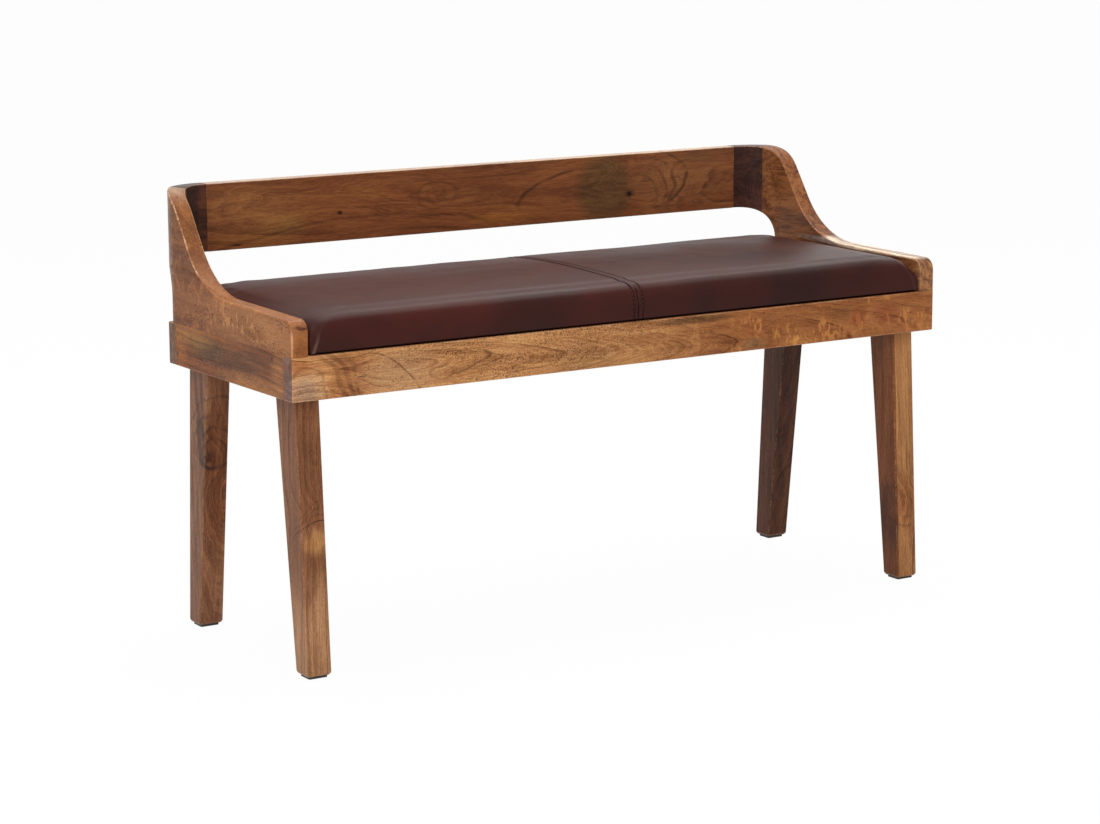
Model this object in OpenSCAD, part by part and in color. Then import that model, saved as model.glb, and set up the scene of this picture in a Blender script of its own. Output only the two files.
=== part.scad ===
// Low bench with a padded seat, two swept arms and a wrap-round back.
// X runs along the bench, the back is at +Y and the floor is at Z = 0.

/* [Bench] */
// Length over the ends of the rails
bench_w = 1100; // [960:10:1400]
// Depth of the frame under the seat, front face to back face
apron_d = 380; // [350:5:460]
// Height from the floor to the underside of the rails
leg_h = 388; // [320:1:440]

/* [Rails] */
// Height of the rails
rail_h = 61; // [56:1:90]
// Thickness of the front and back rails
rail_t = 25; // [20:1:32]
// Thickness of the side rails
side_t = 18; // [16:1:25]
// Width of each cross rail
cross_w = 60; // [44:1:90]
// Thickness of each cross rail
cross_t = 20; // [16:1:28]
// Distance from the middle of the bench to the outer cross rails
cross_x = 300; // [150:10:340]

/* [Arms] */
// Thickness of each arm
arm_t = 26; // [22:1:34]
// Height of the arm above the rails at its front end
arm_front_h = 49; // [30:1:70]
// How much the top of the arm climbs before its sweep
arm_rise = 3; // [0:0.5:8]
// Radius of the arm's front top corner
arm_front_r = 18; // [6:1:26]
// Distance from the front to the start of the sweep
sweep_start = 196; // [150:2:210]
// Radius of the hollow lower part of the sweep
sweep_low_r = 143; // [90:1:150]
// Radius of the rounded upper part of the sweep
sweep_top_r = 72; // [40:1:90]
// Steepest angle of the sweep
sweep_angle = 55; // [50:1:60]
// How far the arm's rear edge stops short of the back of the frame
arm_back_gap = 12; // [4:1:20]

/* [Back] */
// Height of the backrest's top above the rails
back_top_h = 190; // [170:1:240]
// Height of the backrest board
board_h = 98; // [80:1:120]
// Thickness of the backrest board
board_t = 22; // [18:1:26]
// How far the front of the board stands behind the frame
back_out = 29; // [14:1:40]
// Outer radius of the back corners, seen from above
corner_r = 76; // [60:1:100]
// Angle round the corner at which the corner block meets the arm
joint_angle = 52; // [40:1:60]
// Radius of the top corners of the opening, seen from the side
opening_r = 52; // [36:1:60]

/* [Legs] */
// Thickness of each leg along the bench
leg_t = 37; // [30:1:48]
// Width of each leg at the underside of the rails
leg_top_w = 57; // [46:1:70]
// Width of each leg at the floor
leg_foot_w = 34; // [28:1:44]
// Distance from the face of the frame to the leg at the underside of the rails
leg_in = 28; // [26:1:40]
// How far the outer face of the leg steps outwards on its way to the floor
leg_splay = 22.5; // [0:0.5:24]
// Gap between the top of the leg and the top of the rails
leg_top_gap = 6; // [2:1:16]
// Chamfer round the foot of the leg
foot_chamfer = 3; // [1:0.5:5]
// Thickness of the glide under each leg
glide_t = 3; // [2:0.5:6]
// Distance from the glide's edge to the chamfered edge of the foot
glide_in = 1; // [0.5:0.5:3]

/* [Seat] */
// Height of the pad's crown above the rails
pad_h = 59; // [46:1:80]
// Fall of the crown from the middle of the seat to its front and back rolls
pad_crown = 4; // [1:0.5:8]
// Fall of the pad's top where it is drawn down against the arms
pad_end_fall = 13; // [6:1:20]
// Gap between the pad and each arm
pad_gap = 1.2; // [0.6:0.1:3]
// Distance from the front face of the frame to the pad's drawn-in lower edge
pad_front_in = 2; // [1:0.5:6]
// Distance from the back face of the frame to the pad's drawn-in lower edge
pad_back_in = 8; // [4:1:16]
// Bulge of the pad's sides beyond their lower edges
pad_bulge = 1.8; // [0.5:0.1:3]
// Width of the roll along the pad's front edge
front_roll_w = 44; // [24:1:60]
// Height of the roll along the pad's front edge
front_roll_h = 31; // [20:1:36]
// Width of the roll along the pad's back edge
back_roll_w = 30; // [16:1:44]
// Radius of the pad's upright corners
pad_corner_r = 18; // [8:1:28]
// Distance from the middle of the bench to the seam across the pad
seam_x = 9; // [-40:1:40]
// Depth of the sewn channel along the seam
seam_depth = 1.4; // [0.6:0.1:2]
// Thickness of the leather
leather_t = 1.3; // [1:0.1:2]
// Width of the leather turned in under the seat board
turn_in = 32; // [20:1:45]
// Thickness of the plywood seat board
seat_board_t = 12; // [9:1:18]
// Thickness of the dust cover under the seat board
dust_cover_t = 0.8; // [0.5:0.1:1]

/* [Fasteners] */
// Diameter of the dowels
dowel_d = 8; // [6:1:9]
// Depth of a dowel in each piece that it joins
dowel_in = 15; // [12:1:17]
// Diameter of the leg bolts
bolt_d = 8; // [6:1:10]
// Diameter of the leg bolts' heads
bolt_head_d = 15; // [13:0.5:18]
// Height of the leg bolts' heads
bolt_head_h = 5; // [4:0.5:7]
// Width across the flats of the key socket in the bolt heads
bolt_key = 5; // [4:1:6]
// Outer diameter of the washers
washer_d = 22; // [19:1:24]
// Thickness of the washers
washer_t = 1.6; // [1:0.1:2.5]
// Diameter of the threaded inserts in the side rails
insert_d = 12; // [11:1:14]
// Length of the threaded inserts
insert_len = 12; // [9:1:14]
// Height of the lower leg bolt above the underside of the rails
bolt_low = 16; // [14:1:18]
// Distance between the two bolts of a leg
bolt_gap = 24; // [22:1:28]
// Diameter of the seat screws
screw_d = 4.5; // [3.5:0.5:5]
// Diameter of the seat screws' heads
screw_head_d = 9; // [8:0.5:11]

/* [Hidden] */
$fn = 72;

// Small sizes
glide_r = 3;         // corner radius of a glide, seen from above
bore_fit = 0.1;      // between a dowel, bolt or insert and the wall of its hole
soft_fit = 0.3;      // between a soft piece and what it lies against
past = 1;            // how far a cutting shape runs past the face that it cuts
screw_bite = 9;      // how far the seat screws reach into the seat board

// Places along the depth, with the middle of the whole bench at Y = 0
total_d = apron_d + back_out + board_t;
y_front = -total_d / 2;
y_frame_back = y_front + apron_d;
y_board = y_frame_back + back_out;
y_back = y_front + total_d;
half_w = bench_w / 2;

// Heights
z_top = leg_h + rail_h;
z_arm = z_top + arm_front_h + arm_rise;
z_back = z_top + back_top_h;
z_open = z_back - board_h;

// Back corners, seen from above: the outer and inner arcs share one Y
corner_in_r = corner_r - board_t;
y_corner = y_back - corner_r;
x_corner = half_w - corner_r;
x_corner_in = half_w - arm_t - corner_in_r;
x_joint = x_corner_in;

// Sweep of the arm, seen from the side
y_sweep = y_front + sweep_start;
sweep_b = [y_sweep + sweep_low_r * sin(sweep_angle), z_arm + sweep_low_r * (1 - cos(sweep_angle))];
z_sweep_c = z_back - sweep_top_r * (1 - cos(sweep_angle));
sweep_c = [sweep_b[0] + (z_sweep_c - sweep_b[1]) / tan(sweep_angle), z_sweep_c];
sweep_k = [sweep_c[0] + sweep_top_r * sin(sweep_angle), z_back - sweep_top_r];
arm_slope = atan(arm_rise / sweep_start);
y_arm_back = y_frame_back - arm_back_gap;

// Legs: the outer face is flat against the side rail
x_leg_out = half_w - side_t;
x_leg = x_leg_out - leg_t / 2;
z_leg_top = z_top - leg_top_gap;

// Seat layers, from the rails upwards
z_pad = z_top + soft_fit;
z_board = z_pad + leather_t + soft_fit;
z_foam = z_board + seat_board_t + soft_fit;
z_crown = z_top + pad_h;
pad_half_w = half_w - arm_t - pad_gap;
y_pad_front = y_front + pad_front_in;
y_pad_back = y_frame_back - pad_back_in;
board_clear = leather_t + soft_fit;
pad_end_roll = 30;     // length of the roll down to each arm
seam_half = 4;         // half the width of the sewn channel

// Fineness of the pad's loft
side_spans = 3;        // up each bulging side of a section
roll_turn = 15;        // degrees between the points of a roll
crown_spans = 8;       // across the crown of a section
crown_power = 4;       // the higher, the flatter the crown runs along the bench
long_spans = 5;        // along each panel, between its end roll and the seam
seam_steps = [3 * seam_half, seam_half, seam_half / 2, 0];
end_shares = [1, 0.97, 0.88, 0.72, 0.5, 0.25, 0];

// Rows of fasteners
dowel_inset = 14;      // from a board's edge to the middle of its nearest dowel
arm_dowel_y = [for (i = [0:3])
    y_front + rail_t / 2 + i * (apron_d - arm_back_gap - rail_t / 2 - 2 * dowel_inset) / 3];
joint_mid_r = (corner_in_r + corner_r + (x_corner - x_corner_in) * sin(joint_angle)) / 2;

// Helper shapes

module mirrored_pair() {
    children();
    mirror([1, 0, 0]) children();
}

// A round bar along X, Y or Z, middled on a point
module bar(at, axis, d, len) {
    turn = axis == "x" ? [0, 90, 0] : axis == "y" ? [90, 0, 0] : [0, 0, 0];
    translate(at) rotate(turn) cylinder(d = d, h = len, center = true);
}

module block(low, high) {
    translate(low) cube(high - low);
}

// Lays an outline drawn in Y and Z across the bench, from x0 to x1
module across(x0, x1) {
    translate([x0, 0, 0])
        rotate([90, 0, 90])
            linear_extrude(x1 - x0) children();
}

// Lays an outline drawn in X and Z along the depth, from y0 to y1
module along_depth(y0, y1) {
    translate([0, y1, 0])
        rotate([90, 0, 0])
            linear_extrude(y1 - y0) children();
}

// Rails

module rail_dowel_bars(fit = 0) {
    for (side = [-1, 1], z = [leg_h + dowel_inset, z_top - dowel_inset - dowel_d],
         y = [y_front + rail_t, y_frame_back - rail_t])
        bar([side * (half_w - side_t / 2), y, z], "y", dowel_d + 2 * fit, 2 * dowel_in + 2 * fit);
}

module cross_dowel_bars(fit = 0) {
    for (x = [-cross_x, 0, cross_x], dx = [-1, 1], y = [y_front + rail_t, y_frame_back - rail_t])
        bar([x + dx * cross_w / 4, y, z_top - cross_t / 2], "y", dowel_d + 2 * fit, 2 * dowel_in + 2 * fit);
}

module arm_dowel_bars(fit = 0) {
    for (side = [-1, 1], y = arm_dowel_y)
        bar([side * (half_w - side_t / 2), y, z_top], "z", dowel_d + 2 * fit, 2 * dowel_in + 2 * fit);
}

module long_rail(y0) {
    difference() {
        block([-half_w, y0, leg_h], [half_w, y0 + rail_t, z_top]);
        rail_dowel_bars(bore_fit);
        cross_dowel_bars(bore_fit);
        arm_dowel_bars(bore_fit);
    }
}

module front_rail() {
    color("peru") long_rail(y_front);
}

module back_rail() {
    color("sienna") long_rail(y_frame_back - rail_t);
}

module side_rail() {
    difference() {
        block([half_w - side_t, y_front + rail_t, leg_h], [half_w, y_frame_back - rail_t, z_top]);
        rail_dowel_bars(bore_fit);
        arm_dowel_bars(bore_fit);
        insert_bars(bore_fit);
    }
}

module left_side_rail() {
    color("saddlebrown") mirror([1, 0, 0]) side_rail();
}

module right_side_rail() {
    color("saddlebrown") side_rail();
}

module cross_rail(x) {
    difference() {
        block([x - cross_w / 2, y_front + rail_t, z_top - cross_t],
              [x + cross_w / 2, y_frame_back - rail_t, z_top]);
        cross_dowel_bars(bore_fit);
        seat_screw_set(bore_fit);
    }
}

module left_cross_rail() {
    color("burlywood") cross_rail(-cross_x);
}

module middle_cross_rail() {
    color("burlywood") cross_rail(0);
}

module right_cross_rail() {
    color("burlywood") cross_rail(cross_x);
}

// Arms and back

// Right half of the arms and back, seen from above
module wrap_half(x_out, x_mid, y_out, r) {
    translate([0, y_front]) square([x_out, y_corner - y_front]);
    translate([0, y_front]) square([x_mid, y_out - y_front]);
    translate([x_mid, y_corner]) circle(r);
}

module wrap_plan() {
    difference() {
        wrap_half(half_w, x_corner, y_back, corner_r);
        wrap_half(half_w - arm_t, x_corner_in, y_board, corner_in_r);
        translate([0, y_front - past]) square([half_w - arm_t, 2 * past]);
    }
}

// Side view of the arm's top: rounded front corner, hollow sweep and rounded upper sweep
module sweep_outline() {
    z_front = z_top + arm_front_h;
    corner_z = z_front + arm_front_r * tan(arm_slope) - arm_front_r / cos(arm_slope);
    touch_y = y_front + arm_front_r * (1 - sin(arm_slope));
    top_y = sweep_c[0] + (z_back - z_sweep_c) / tan(sweep_angle);
    difference() {
        polygon([[y_front, z_top], [y_front, z_front], [y_sweep, z_arm], sweep_b, [top_y, z_back],
                 [y_back, z_back], [y_back, z_top]]);
        translate([y_sweep, z_arm + sweep_low_r]) circle(sweep_low_r);
        difference() {
            polygon([sweep_k, 2 * sweep_c - sweep_k, sweep_k + [0, 2 * sweep_top_r]]);
            translate(sweep_k) circle(sweep_top_r);
        }
        difference() {
            polygon([[y_front - past, corner_z], [y_front - past, z_arm + past], [touch_y, z_arm + past],
                     [touch_y, corner_z]]);
            translate([y_front + arm_front_r, corner_z]) circle(arm_front_r);
        }
    }
}

// The opening below the backrest, with its rounded top corner
module opening_outline() {
    translate([y_arm_back, z_top - past])
        square([y_back - y_arm_back + past, z_open - opening_r - z_top + past]);
    translate([y_arm_back + opening_r, z_top - past])
        square([y_back - y_arm_back - opening_r + past, z_open - z_top + past]);
    translate([y_arm_back + opening_r, z_open - opening_r]) circle(opening_r);
}

module back_profile() {
    difference() {
        sweep_outline();
        opening_outline();
    }
}

// The right corner and arm in one, before they are parted at the joint
module wrap_right() {
    intersection() {
        translate([0, 0, z_top]) linear_extrude(z_back - z_top) wrap_plan();
        across(x_joint, half_w + past) back_profile();
    }
}

// Wedge, seen from above, that holds the corner block
module joint_wedge() {
    reach = 3 * corner_r;
    turn = 90 - joint_angle;
    translate([x_corner_in, y_corner, z_top - past])
        linear_extrude(z_back - z_top + 2 * past)
            polygon([[0, 0], [reach * cos(turn), reach * sin(turn)], [reach, 2 * reach], [0, 2 * reach]]);
}

module back_dowel_bars(fit = 0) {
    d = dowel_d + 2 * fit;
    len = 2 * dowel_in + 2 * fit;
    for (z = [z_open + 2 * dowel_inset, z_back - dowel_inset])
        bar([x_joint, y_board + board_t / 2, z], "x", d, len);
    for (z = [z_open + dowel_inset, z_back - 2 * dowel_inset])
        translate([x_corner_in, y_corner, z])
            rotate([0, 0, -joint_angle])
                translate([0, joint_mid_r, 0])
                    rotate([0, 90, 0]) cylinder(d = d, h = len, center = true);
}

module arm() {
    difference() {
        wrap_right();
        joint_wedge();
        back_dowel_bars(bore_fit);
        arm_dowel_bars(bore_fit);
    }
}

module left_arm() {
    color("chocolate") mirror([1, 0, 0]) arm();
}

module right_arm() {
    color("chocolate") arm();
}

module back_corner() {
    difference() {
        intersection() {
            wrap_right();
            joint_wedge();
        }
        back_dowel_bars(bore_fit);
    }
}

module left_back_corner() {
    color("maroon") mirror([1, 0, 0]) back_corner();
}

module right_back_corner() {
    color("maroon") back_corner();
}

module backrest_board() {
    color("peru")
        difference() {
            intersection() {
                block([-x_joint, y_board, z_top], [x_joint, y_back, z_back]);
                across(-half_w, half_w) back_profile();
            }
            mirrored_pair() back_dowel_bars(bore_fit);
        }
}

// Legs and glides

function leg_face(z) = y_front + leg_in - leg_splay * (leg_h - z) / leg_h;
function leg_width(z) = leg_foot_w + (leg_top_w - leg_foot_w) * z / leg_h;
function leg_mid(z) = leg_face(z) + leg_width(z) / 2;

// Where a piece of the front legs comes on the rear legs
module at_leg(front) {
    if (front) children();
    else translate([0, y_front + y_frame_back, 0]) mirror([0, 1, 0]) children();
}

module front_leg() {
    c = foot_chamfer;
    foot_y = leg_face(glide_t);
    foot_w = leg_width(glide_t);
    difference() {
        intersection() {
            across(x_leg_out - leg_t, x_leg_out)
                polygon([[foot_y + c, glide_t], [foot_y + foot_w - c, glide_t],
                         [leg_face(glide_t + c) + leg_width(glide_t + c), glide_t + c],
                         [leg_face(z_leg_top) + leg_width(z_leg_top), z_leg_top],
                         [leg_face(z_leg_top), z_leg_top], [leg_face(glide_t + c), glide_t + c]]);
            along_depth(y_front - leg_top_w, y_front + 3 * leg_top_w)
                polygon([[x_leg_out - leg_t + c, glide_t], [x_leg_out - c, glide_t],
                         [x_leg_out, glide_t + c], [x_leg_out, z_leg_top],
                         [x_leg_out - leg_t, z_leg_top], [x_leg_out - leg_t, glide_t + c]]);
        }
        leg_bolt_bars(bolt_d + 2 * bore_fit);
    }
}

module front_left_leg() {
    color("peru") mirror([1, 0, 0]) at_leg(true) front_leg();
}

module front_right_leg() {
    color("peru") at_leg(true) front_leg();
}

module rear_left_leg() {
    color("sienna") mirror([1, 0, 0]) at_leg(false) front_leg();
}

module rear_right_leg() {
    color("sienna") at_leg(false) front_leg();
}

module front_glide() {
    edge = foot_chamfer + glide_in;
    half = [leg_t / 2 - edge, leg_width(glide_t) / 2 - edge];
    translate([x_leg, leg_mid(glide_t), 0])
        linear_extrude(glide_t) round_plan(-half, half, glide_r);
}

module front_left_glide() {
    color("dimgray") mirror([1, 0, 0]) at_leg(true) front_glide();
}

module front_right_glide() {
    color("dimgray") at_leg(true) front_glide();
}

module rear_left_glide() {
    color("dimgray") mirror([1, 0, 0]) at_leg(false) front_glide();
}

module rear_right_glide() {
    color("dimgray") at_leg(false) front_glide();
}

// Leg fasteners, each drawn for the front right leg and repeated on the others

module on_each_leg() {
    for (front = [true, false])
        at_leg(front) mirrored_pair() children();
}

module at_leg_bolts() {
    for (z = [leg_h + bolt_low, leg_h + bolt_low + bolt_gap])
        translate([0, leg_mid(z), z]) children();
}

// Bars through one leg, to drill it
module leg_bolt_bars(d) {
    at_leg_bolts()
        translate([x_leg_out - leg_t - past, 0, 0]) rotate([0, 90, 0]) cylinder(d = d, h = leg_t + 2 * past);
}

module insert_bars(fit) {
    for (front = [true, false])
        at_leg(front) at_leg_bolts()
            translate([x_leg_out - past, 0, 0])
                rotate([0, 90, 0]) cylinder(d = insert_d + 2 * fit, h = insert_len + past + 2 * fit);
}

module leg_bolts() {
    tip = x_leg_out + insert_len;
    head = x_leg_out - leg_t - washer_t;
    color("silver")
        on_each_leg() at_leg_bolts()
            translate([head, 0, 0]) rotate([0, 90, 0])
                difference() {
                    union() {
                        cylinder(d = bolt_d, h = tip - head);
                        translate([0, 0, -bolt_head_h]) cylinder(d = bolt_head_d, h = bolt_head_h);
                    }
                    translate([0, 0, -bolt_head_h - past])
                        cylinder(d = bolt_key / cos(30), h = bolt_head_h / 2 + past, $fn = 6);
                }
}

module leg_washers() {
    color("gainsboro")
        on_each_leg() at_leg_bolts()
            translate([x_leg_out - leg_t - washer_t, 0, 0]) rotate([0, 90, 0])
                difference() {
                    cylinder(d = washer_d, h = washer_t);
                    translate([0, 0, -past]) cylinder(d = bolt_d + 4 * bore_fit, h = washer_t + 2 * past);
                }
}

module leg_inserts() {
    color("goldenrod")
        on_each_leg() at_leg_bolts()
            translate([x_leg_out, 0, 0]) rotate([0, 90, 0])
                difference() {
                    cylinder(d = insert_d, h = insert_len);
                    translate([0, 0, -past]) cylinder(d = bolt_d + 2 * bore_fit, h = insert_len + 2 * past);
                }
}

// Dowels

module rail_dowels() {
    color("wheat") rail_dowel_bars();
}

module cross_rail_dowels() {
    color("wheat") cross_dowel_bars();
}

module arm_dowels() {
    color("wheat") arm_dowel_bars();
}

module back_dowels() {
    color("wheat") mirrored_pair() back_dowel_bars();
}

// Seat

// Screws from below, through the cross rails and into the seat board
module seat_screw_set(fit = 0) {
    z_head = z_top - cross_t;
    cone = (screw_head_d - screw_d) / 2;
    for (x = [-cross_x, 0, cross_x], y = [y_front + apron_d / 4, y_frame_back - apron_d / 4])
        translate([x, y, z_head]) {
            cylinder(d = screw_d + 2 * fit, h = z_board + screw_bite - z_head + 2 * fit);
            cylinder(d1 = screw_head_d + 2 * fit, d2 = screw_d + 2 * fit, h = cone);
        }
}

module seat_screws() {
    color("silver") seat_screw_set();
}

// Rectangle with round corners, seen from above
module round_plan(low, high, r) {
    translate([low[0] + r, low[1]]) square([high[0] - low[0] - 2 * r, high[1] - low[1]]);
    translate([low[0], low[1] + r]) square([high[0] - low[0], high[1] - low[1] - 2 * r]);
    for (x = [low[0] + r, high[0] - r], y = [low[1] + r, high[1] - r])
        translate([x, y]) circle(r);
}

module seat_board() {
    edge = board_clear + soft_fit;
    x = pad_half_w - edge;
    color("tan")
        difference() {
            translate([0, 0, z_board])
                linear_extrude(seat_board_t)
                    round_plan([-x, y_pad_front + edge], [x, y_pad_back - edge], pad_corner_r - edge);
            seat_screw_set(bore_fit);
        }
}

module dust_cover() {
    edge = turn_in + soft_fit;
    x = pad_half_w - edge;
    color("black")
        difference() {
            block([-x, y_pad_front + edge, z_board - soft_fit - dust_cover_t],
                  [x, y_pad_back - edge, z_board - soft_fit]);
            seat_screw_set(soft_fit);
        }
}

// The pad is lofted along X. Each section is a closed loop in Y and Z that starts low at the front,
// goes up the bulging front side, over the front roll, the crown and the back roll, and down again.
// skin is how far the loop lies inside the outer face of the leather.

function fall(u) = 1 - sqrt(max(0, 1 - u * u));
function roll_part(dist, r) = fall(max(0, 1 - max(0, dist) / r));

function channel(x) = seam_depth * max(0, 1 - abs(x - seam_x) / seam_half);

function pad_section(x, skin, z_low) =
    let (dist = pad_half_w - abs(x),
         inset = skin + pad_corner_r * roll_part(dist, pad_corner_r) + channel(x),
         y0 = y_pad_front + inset,
         y1 = y_pad_back - inset,
         end_fall = pad_end_fall * roll_part(dist, pad_end_roll),
         z_edge = z_crown - pad_crown - end_fall - skin - channel(x),
         crown = max(0, pad_crown * (1 - pow(x / pad_half_w, crown_power))),
         z_roll = z_edge - front_roll_h,
         rise = z_roll - z_low,
         swell = [for (i = [0:side_spans]) pad_bulge * sin(90 * i / side_spans)],
         span = y1 - y0 - front_roll_w - back_roll_w)
    [
        for (i = [0:side_spans]) [y0 - swell[i], z_low + rise * i / side_spans],
        for (a = [roll_turn:roll_turn:90 - roll_turn])
            [y0 - pad_bulge + (front_roll_w + pad_bulge) * (1 - cos(a)), z_roll + front_roll_h * sin(a)],
        for (i = [0:crown_spans])
            [y0 + front_roll_w + span * i / crown_spans, z_edge + crown * sin(180 * i / crown_spans)],
        for (a = [90 - roll_turn:-roll_turn:roll_turn])
            [y1 + pad_bulge - (back_roll_w + pad_bulge) * (1 - cos(a)), z_roll + front_roll_h * sin(a)],
        for (i = [side_spans:-1:0]) [y1 + swell[i], z_low + rise * i / side_spans]
    ];

// Stations along X, closer together where the ends roll over and at the seam
end_steps = [for (share = end_shares) pad_end_roll * (1 - share)];
x_roll = pad_half_w - pad_end_roll;
function left_stations(skin) = concat(
    [for (d = end_steps) max(d, skin) - pad_half_w],
    [for (i = [1:long_spans - 1]) -x_roll + (seam_x - seam_steps[0] + x_roll) * i / long_spans],
    [for (d = seam_steps) seam_x - d]);
function right_stations(skin) = concat(
    [for (i = [len(seam_steps) - 1:-1:0]) seam_x + seam_steps[i]],
    [for (i = [long_spans - 1:-1:1]) x_roll - (x_roll - seam_x - seam_steps[0]) * i / long_spans],
    [for (i = [len(end_steps) - 1:-1:0]) pad_half_w - max(end_steps[i], skin)]);

function without_repeats(list) = [for (i = [0:len(list) - 1]) if (i == 0 || list[i] - list[i - 1] > 0.01) list[i]];

// Joins one closed loop per station into a solid with flat ends
module loft(stations, skin, z_low) {
    xs = without_repeats(stations);
    loops = [for (x = xs) [for (p = pad_section(x, skin, z_low)) [x, p[0], p[1]]]];
    n = len(loops[0]);
    last = len(xs) - 1;
    sides = [for (i = [0:last - 1], j = [0:n - 1])
        let (a = i * n + j, b = i * n + (j + 1) % n) each [[a, b, b + n], [a, b + n, a + n]]];
    ends = [for (j = [1:n - 2]) each [[0, j + 1, j], [last * n, last * n + j, last * n + j + 1]]];
    polyhedron(points = [for (l = loops) each l], faces = concat(sides, ends));
}

module seat_foam() {
    skin = board_clear;
    color("khaki") loft(concat(left_stations(skin), right_stations(skin)), skin, z_foam);
}

// The leather is open below, inside its turned-in edge
module leather(stations, x0, x1) {
    difference() {
        loft(stations, 0, z_pad);
        children();
        block([x0, y_pad_front + turn_in, z_pad - past], [x1, y_pad_back - turn_in, z_board]);
    }
}

module left_leather_panel() {
    color("#3d2424")
        leather(left_stations(0), -pad_half_w + turn_in, seam_x + past)
            loft(concat(left_stations(leather_t), [seam_x + past]), leather_t, z_pad + leather_t);
}

module right_leather_panel() {
    color("#3d2424")
        leather(right_stations(0), seam_x - past, pad_half_w - turn_in)
            loft(concat([seam_x - past], right_stations(leather_t)), leather_t, z_pad + leather_t);
}

front_rail();
back_rail();
left_side_rail();
right_side_rail();
left_cross_rail();
middle_cross_rail();
right_cross_rail();
left_arm();
right_arm();
left_back_corner();
right_back_corner();
backrest_board();
front_left_leg();
front_right_leg();
rear_left_leg();
rear_right_leg();
front_left_glide();
front_right_glide();
rear_left_glide();
rear_right_glide();
leg_bolts();
leg_washers();
leg_inserts();
rail_dowels();
cross_rail_dowels();
arm_dowels();
back_dowels();
seat_board();
seat_foam();
left_leather_panel();
right_leather_panel();
dust_cover();
seat_screws();
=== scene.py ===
import math
import random

import bmesh
import bpy
from mathutils import Euler, Matrix, Vector, noise
from mathutils.bvhtree import BVHTree


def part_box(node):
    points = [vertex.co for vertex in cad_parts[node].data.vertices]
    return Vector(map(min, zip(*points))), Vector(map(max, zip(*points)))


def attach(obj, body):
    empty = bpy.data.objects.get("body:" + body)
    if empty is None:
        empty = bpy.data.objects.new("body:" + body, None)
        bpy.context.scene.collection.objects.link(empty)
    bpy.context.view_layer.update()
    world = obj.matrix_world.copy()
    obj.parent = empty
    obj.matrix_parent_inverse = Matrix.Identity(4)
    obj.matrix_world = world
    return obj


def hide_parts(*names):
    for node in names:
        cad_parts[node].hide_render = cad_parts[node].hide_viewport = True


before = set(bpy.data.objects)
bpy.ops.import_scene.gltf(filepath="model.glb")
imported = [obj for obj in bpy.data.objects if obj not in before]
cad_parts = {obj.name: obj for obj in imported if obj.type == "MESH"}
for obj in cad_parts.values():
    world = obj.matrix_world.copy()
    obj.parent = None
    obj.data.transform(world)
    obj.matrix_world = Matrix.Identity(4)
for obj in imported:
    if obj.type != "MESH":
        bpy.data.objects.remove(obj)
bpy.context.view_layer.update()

print("scene: frame loaded")


# Small helpers

def srgb(red, green, blue):  # display values 0-255 to the linear ones that Blender works in
    def linear(value):
        value /= 255
        return value / 12.92 if value <= 0.04045 else ((value + 0.055) / 1.055) ** 2.4
    return (linear(red), linear(green), linear(blue), 1.0)


def smoothStep(low, high, value):
    share = min(1.0, max(0.0, (value - low) / (high - low)))
    return share * share * (3 - 2 * share)


class Wiring:  # shorthand for wiring up the nodes of one tree
    def __init__(self, tree):
        self.tree = tree

    def plug(self, value, socket):
        if isinstance(value, bpy.types.NodeSocket):
            self.tree.links.new(value, socket)
        else:
            socket.default_value = value

    def add(self, kind, inputs=None, **settings):
        node = self.tree.nodes.new(kind)
        for key, value in settings.items():
            setattr(node, key, value)
        for key, value in (inputs or {}).items():
            self.plug(value, node.inputs[key])
        return node

    def maths(self, operation, *values, clamp=False):
        inputs = dict(enumerate(values))
        return self.add("ShaderNodeMath", inputs, operation=operation, use_clamp=clamp).outputs[0]

    def vector(self, operation, *values):
        node = self.add("ShaderNodeVectorMath", dict(enumerate(values)), operation=operation)
        return node.outputs["Value" if operation == "LENGTH" else "Vector"]

    def remap(self, value, low, high, toLow=0.0, toHigh=1.0):
        inputs = {"Value": value, "From Min": low, "From Max": high, "To Min": toLow, "To Max": toHigh}
        return self.add("ShaderNodeMapRange", inputs, interpolation_type="SMOOTHSTEP").outputs["Result"]

    def mix(self, amount, first, second, blend="MIX"):
        inputs = {0: amount, 6: first, 7: second}
        return self.add("ShaderNodeMix", inputs, data_type="RGBA", blend_type=blend).outputs[2]

    def place(self, kind="Object"):
        return self.add("ShaderNodeTexCoord").outputs[kind]

    def part(self, vector, axis):
        return self.add("ShaderNodeSeparateXYZ", {0: vector}).outputs[axis]

    def noise(self, vector, stretch, detail=2.0, roughness=0.5, distortion=0.0):
        spread = self.vector("MULTIPLY", vector, stretch)
        inputs = {"Vector": spread, "Scale": 1.0, "Detail": detail, "Roughness": roughness,
                  "Distortion": distortion}
        return self.add("ShaderNodeTexNoise", inputs).outputs

    def sway(self, vector, stretch, detail=2.0, roughness=0.5):  # a vector that wanders both ways from nought
        return self.vector("SUBTRACT", self.noise(vector, stretch, detail, roughness)[1], (0.5, 0.5, 0.5))


def newGroup(name, inputs, outputs):
    group = bpy.data.node_groups.new(name, "ShaderNodeTree")
    kinds = {"value": "NodeSocketFloat", "vector": "NodeSocketVector", "colour": "NodeSocketColor"}
    for label, kind in inputs.items():
        group.interface.new_socket(label, in_out="INPUT", socket_type=kinds[kind])
    for label, kind in outputs.items():
        group.interface.new_socket(label, in_out="OUTPUT", socket_type=kinds[kind])
    wires = Wiring(group)
    return group, wires, wires.add("NodeGroupInput").outputs, wires.add("NodeGroupOutput").inputs


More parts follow.
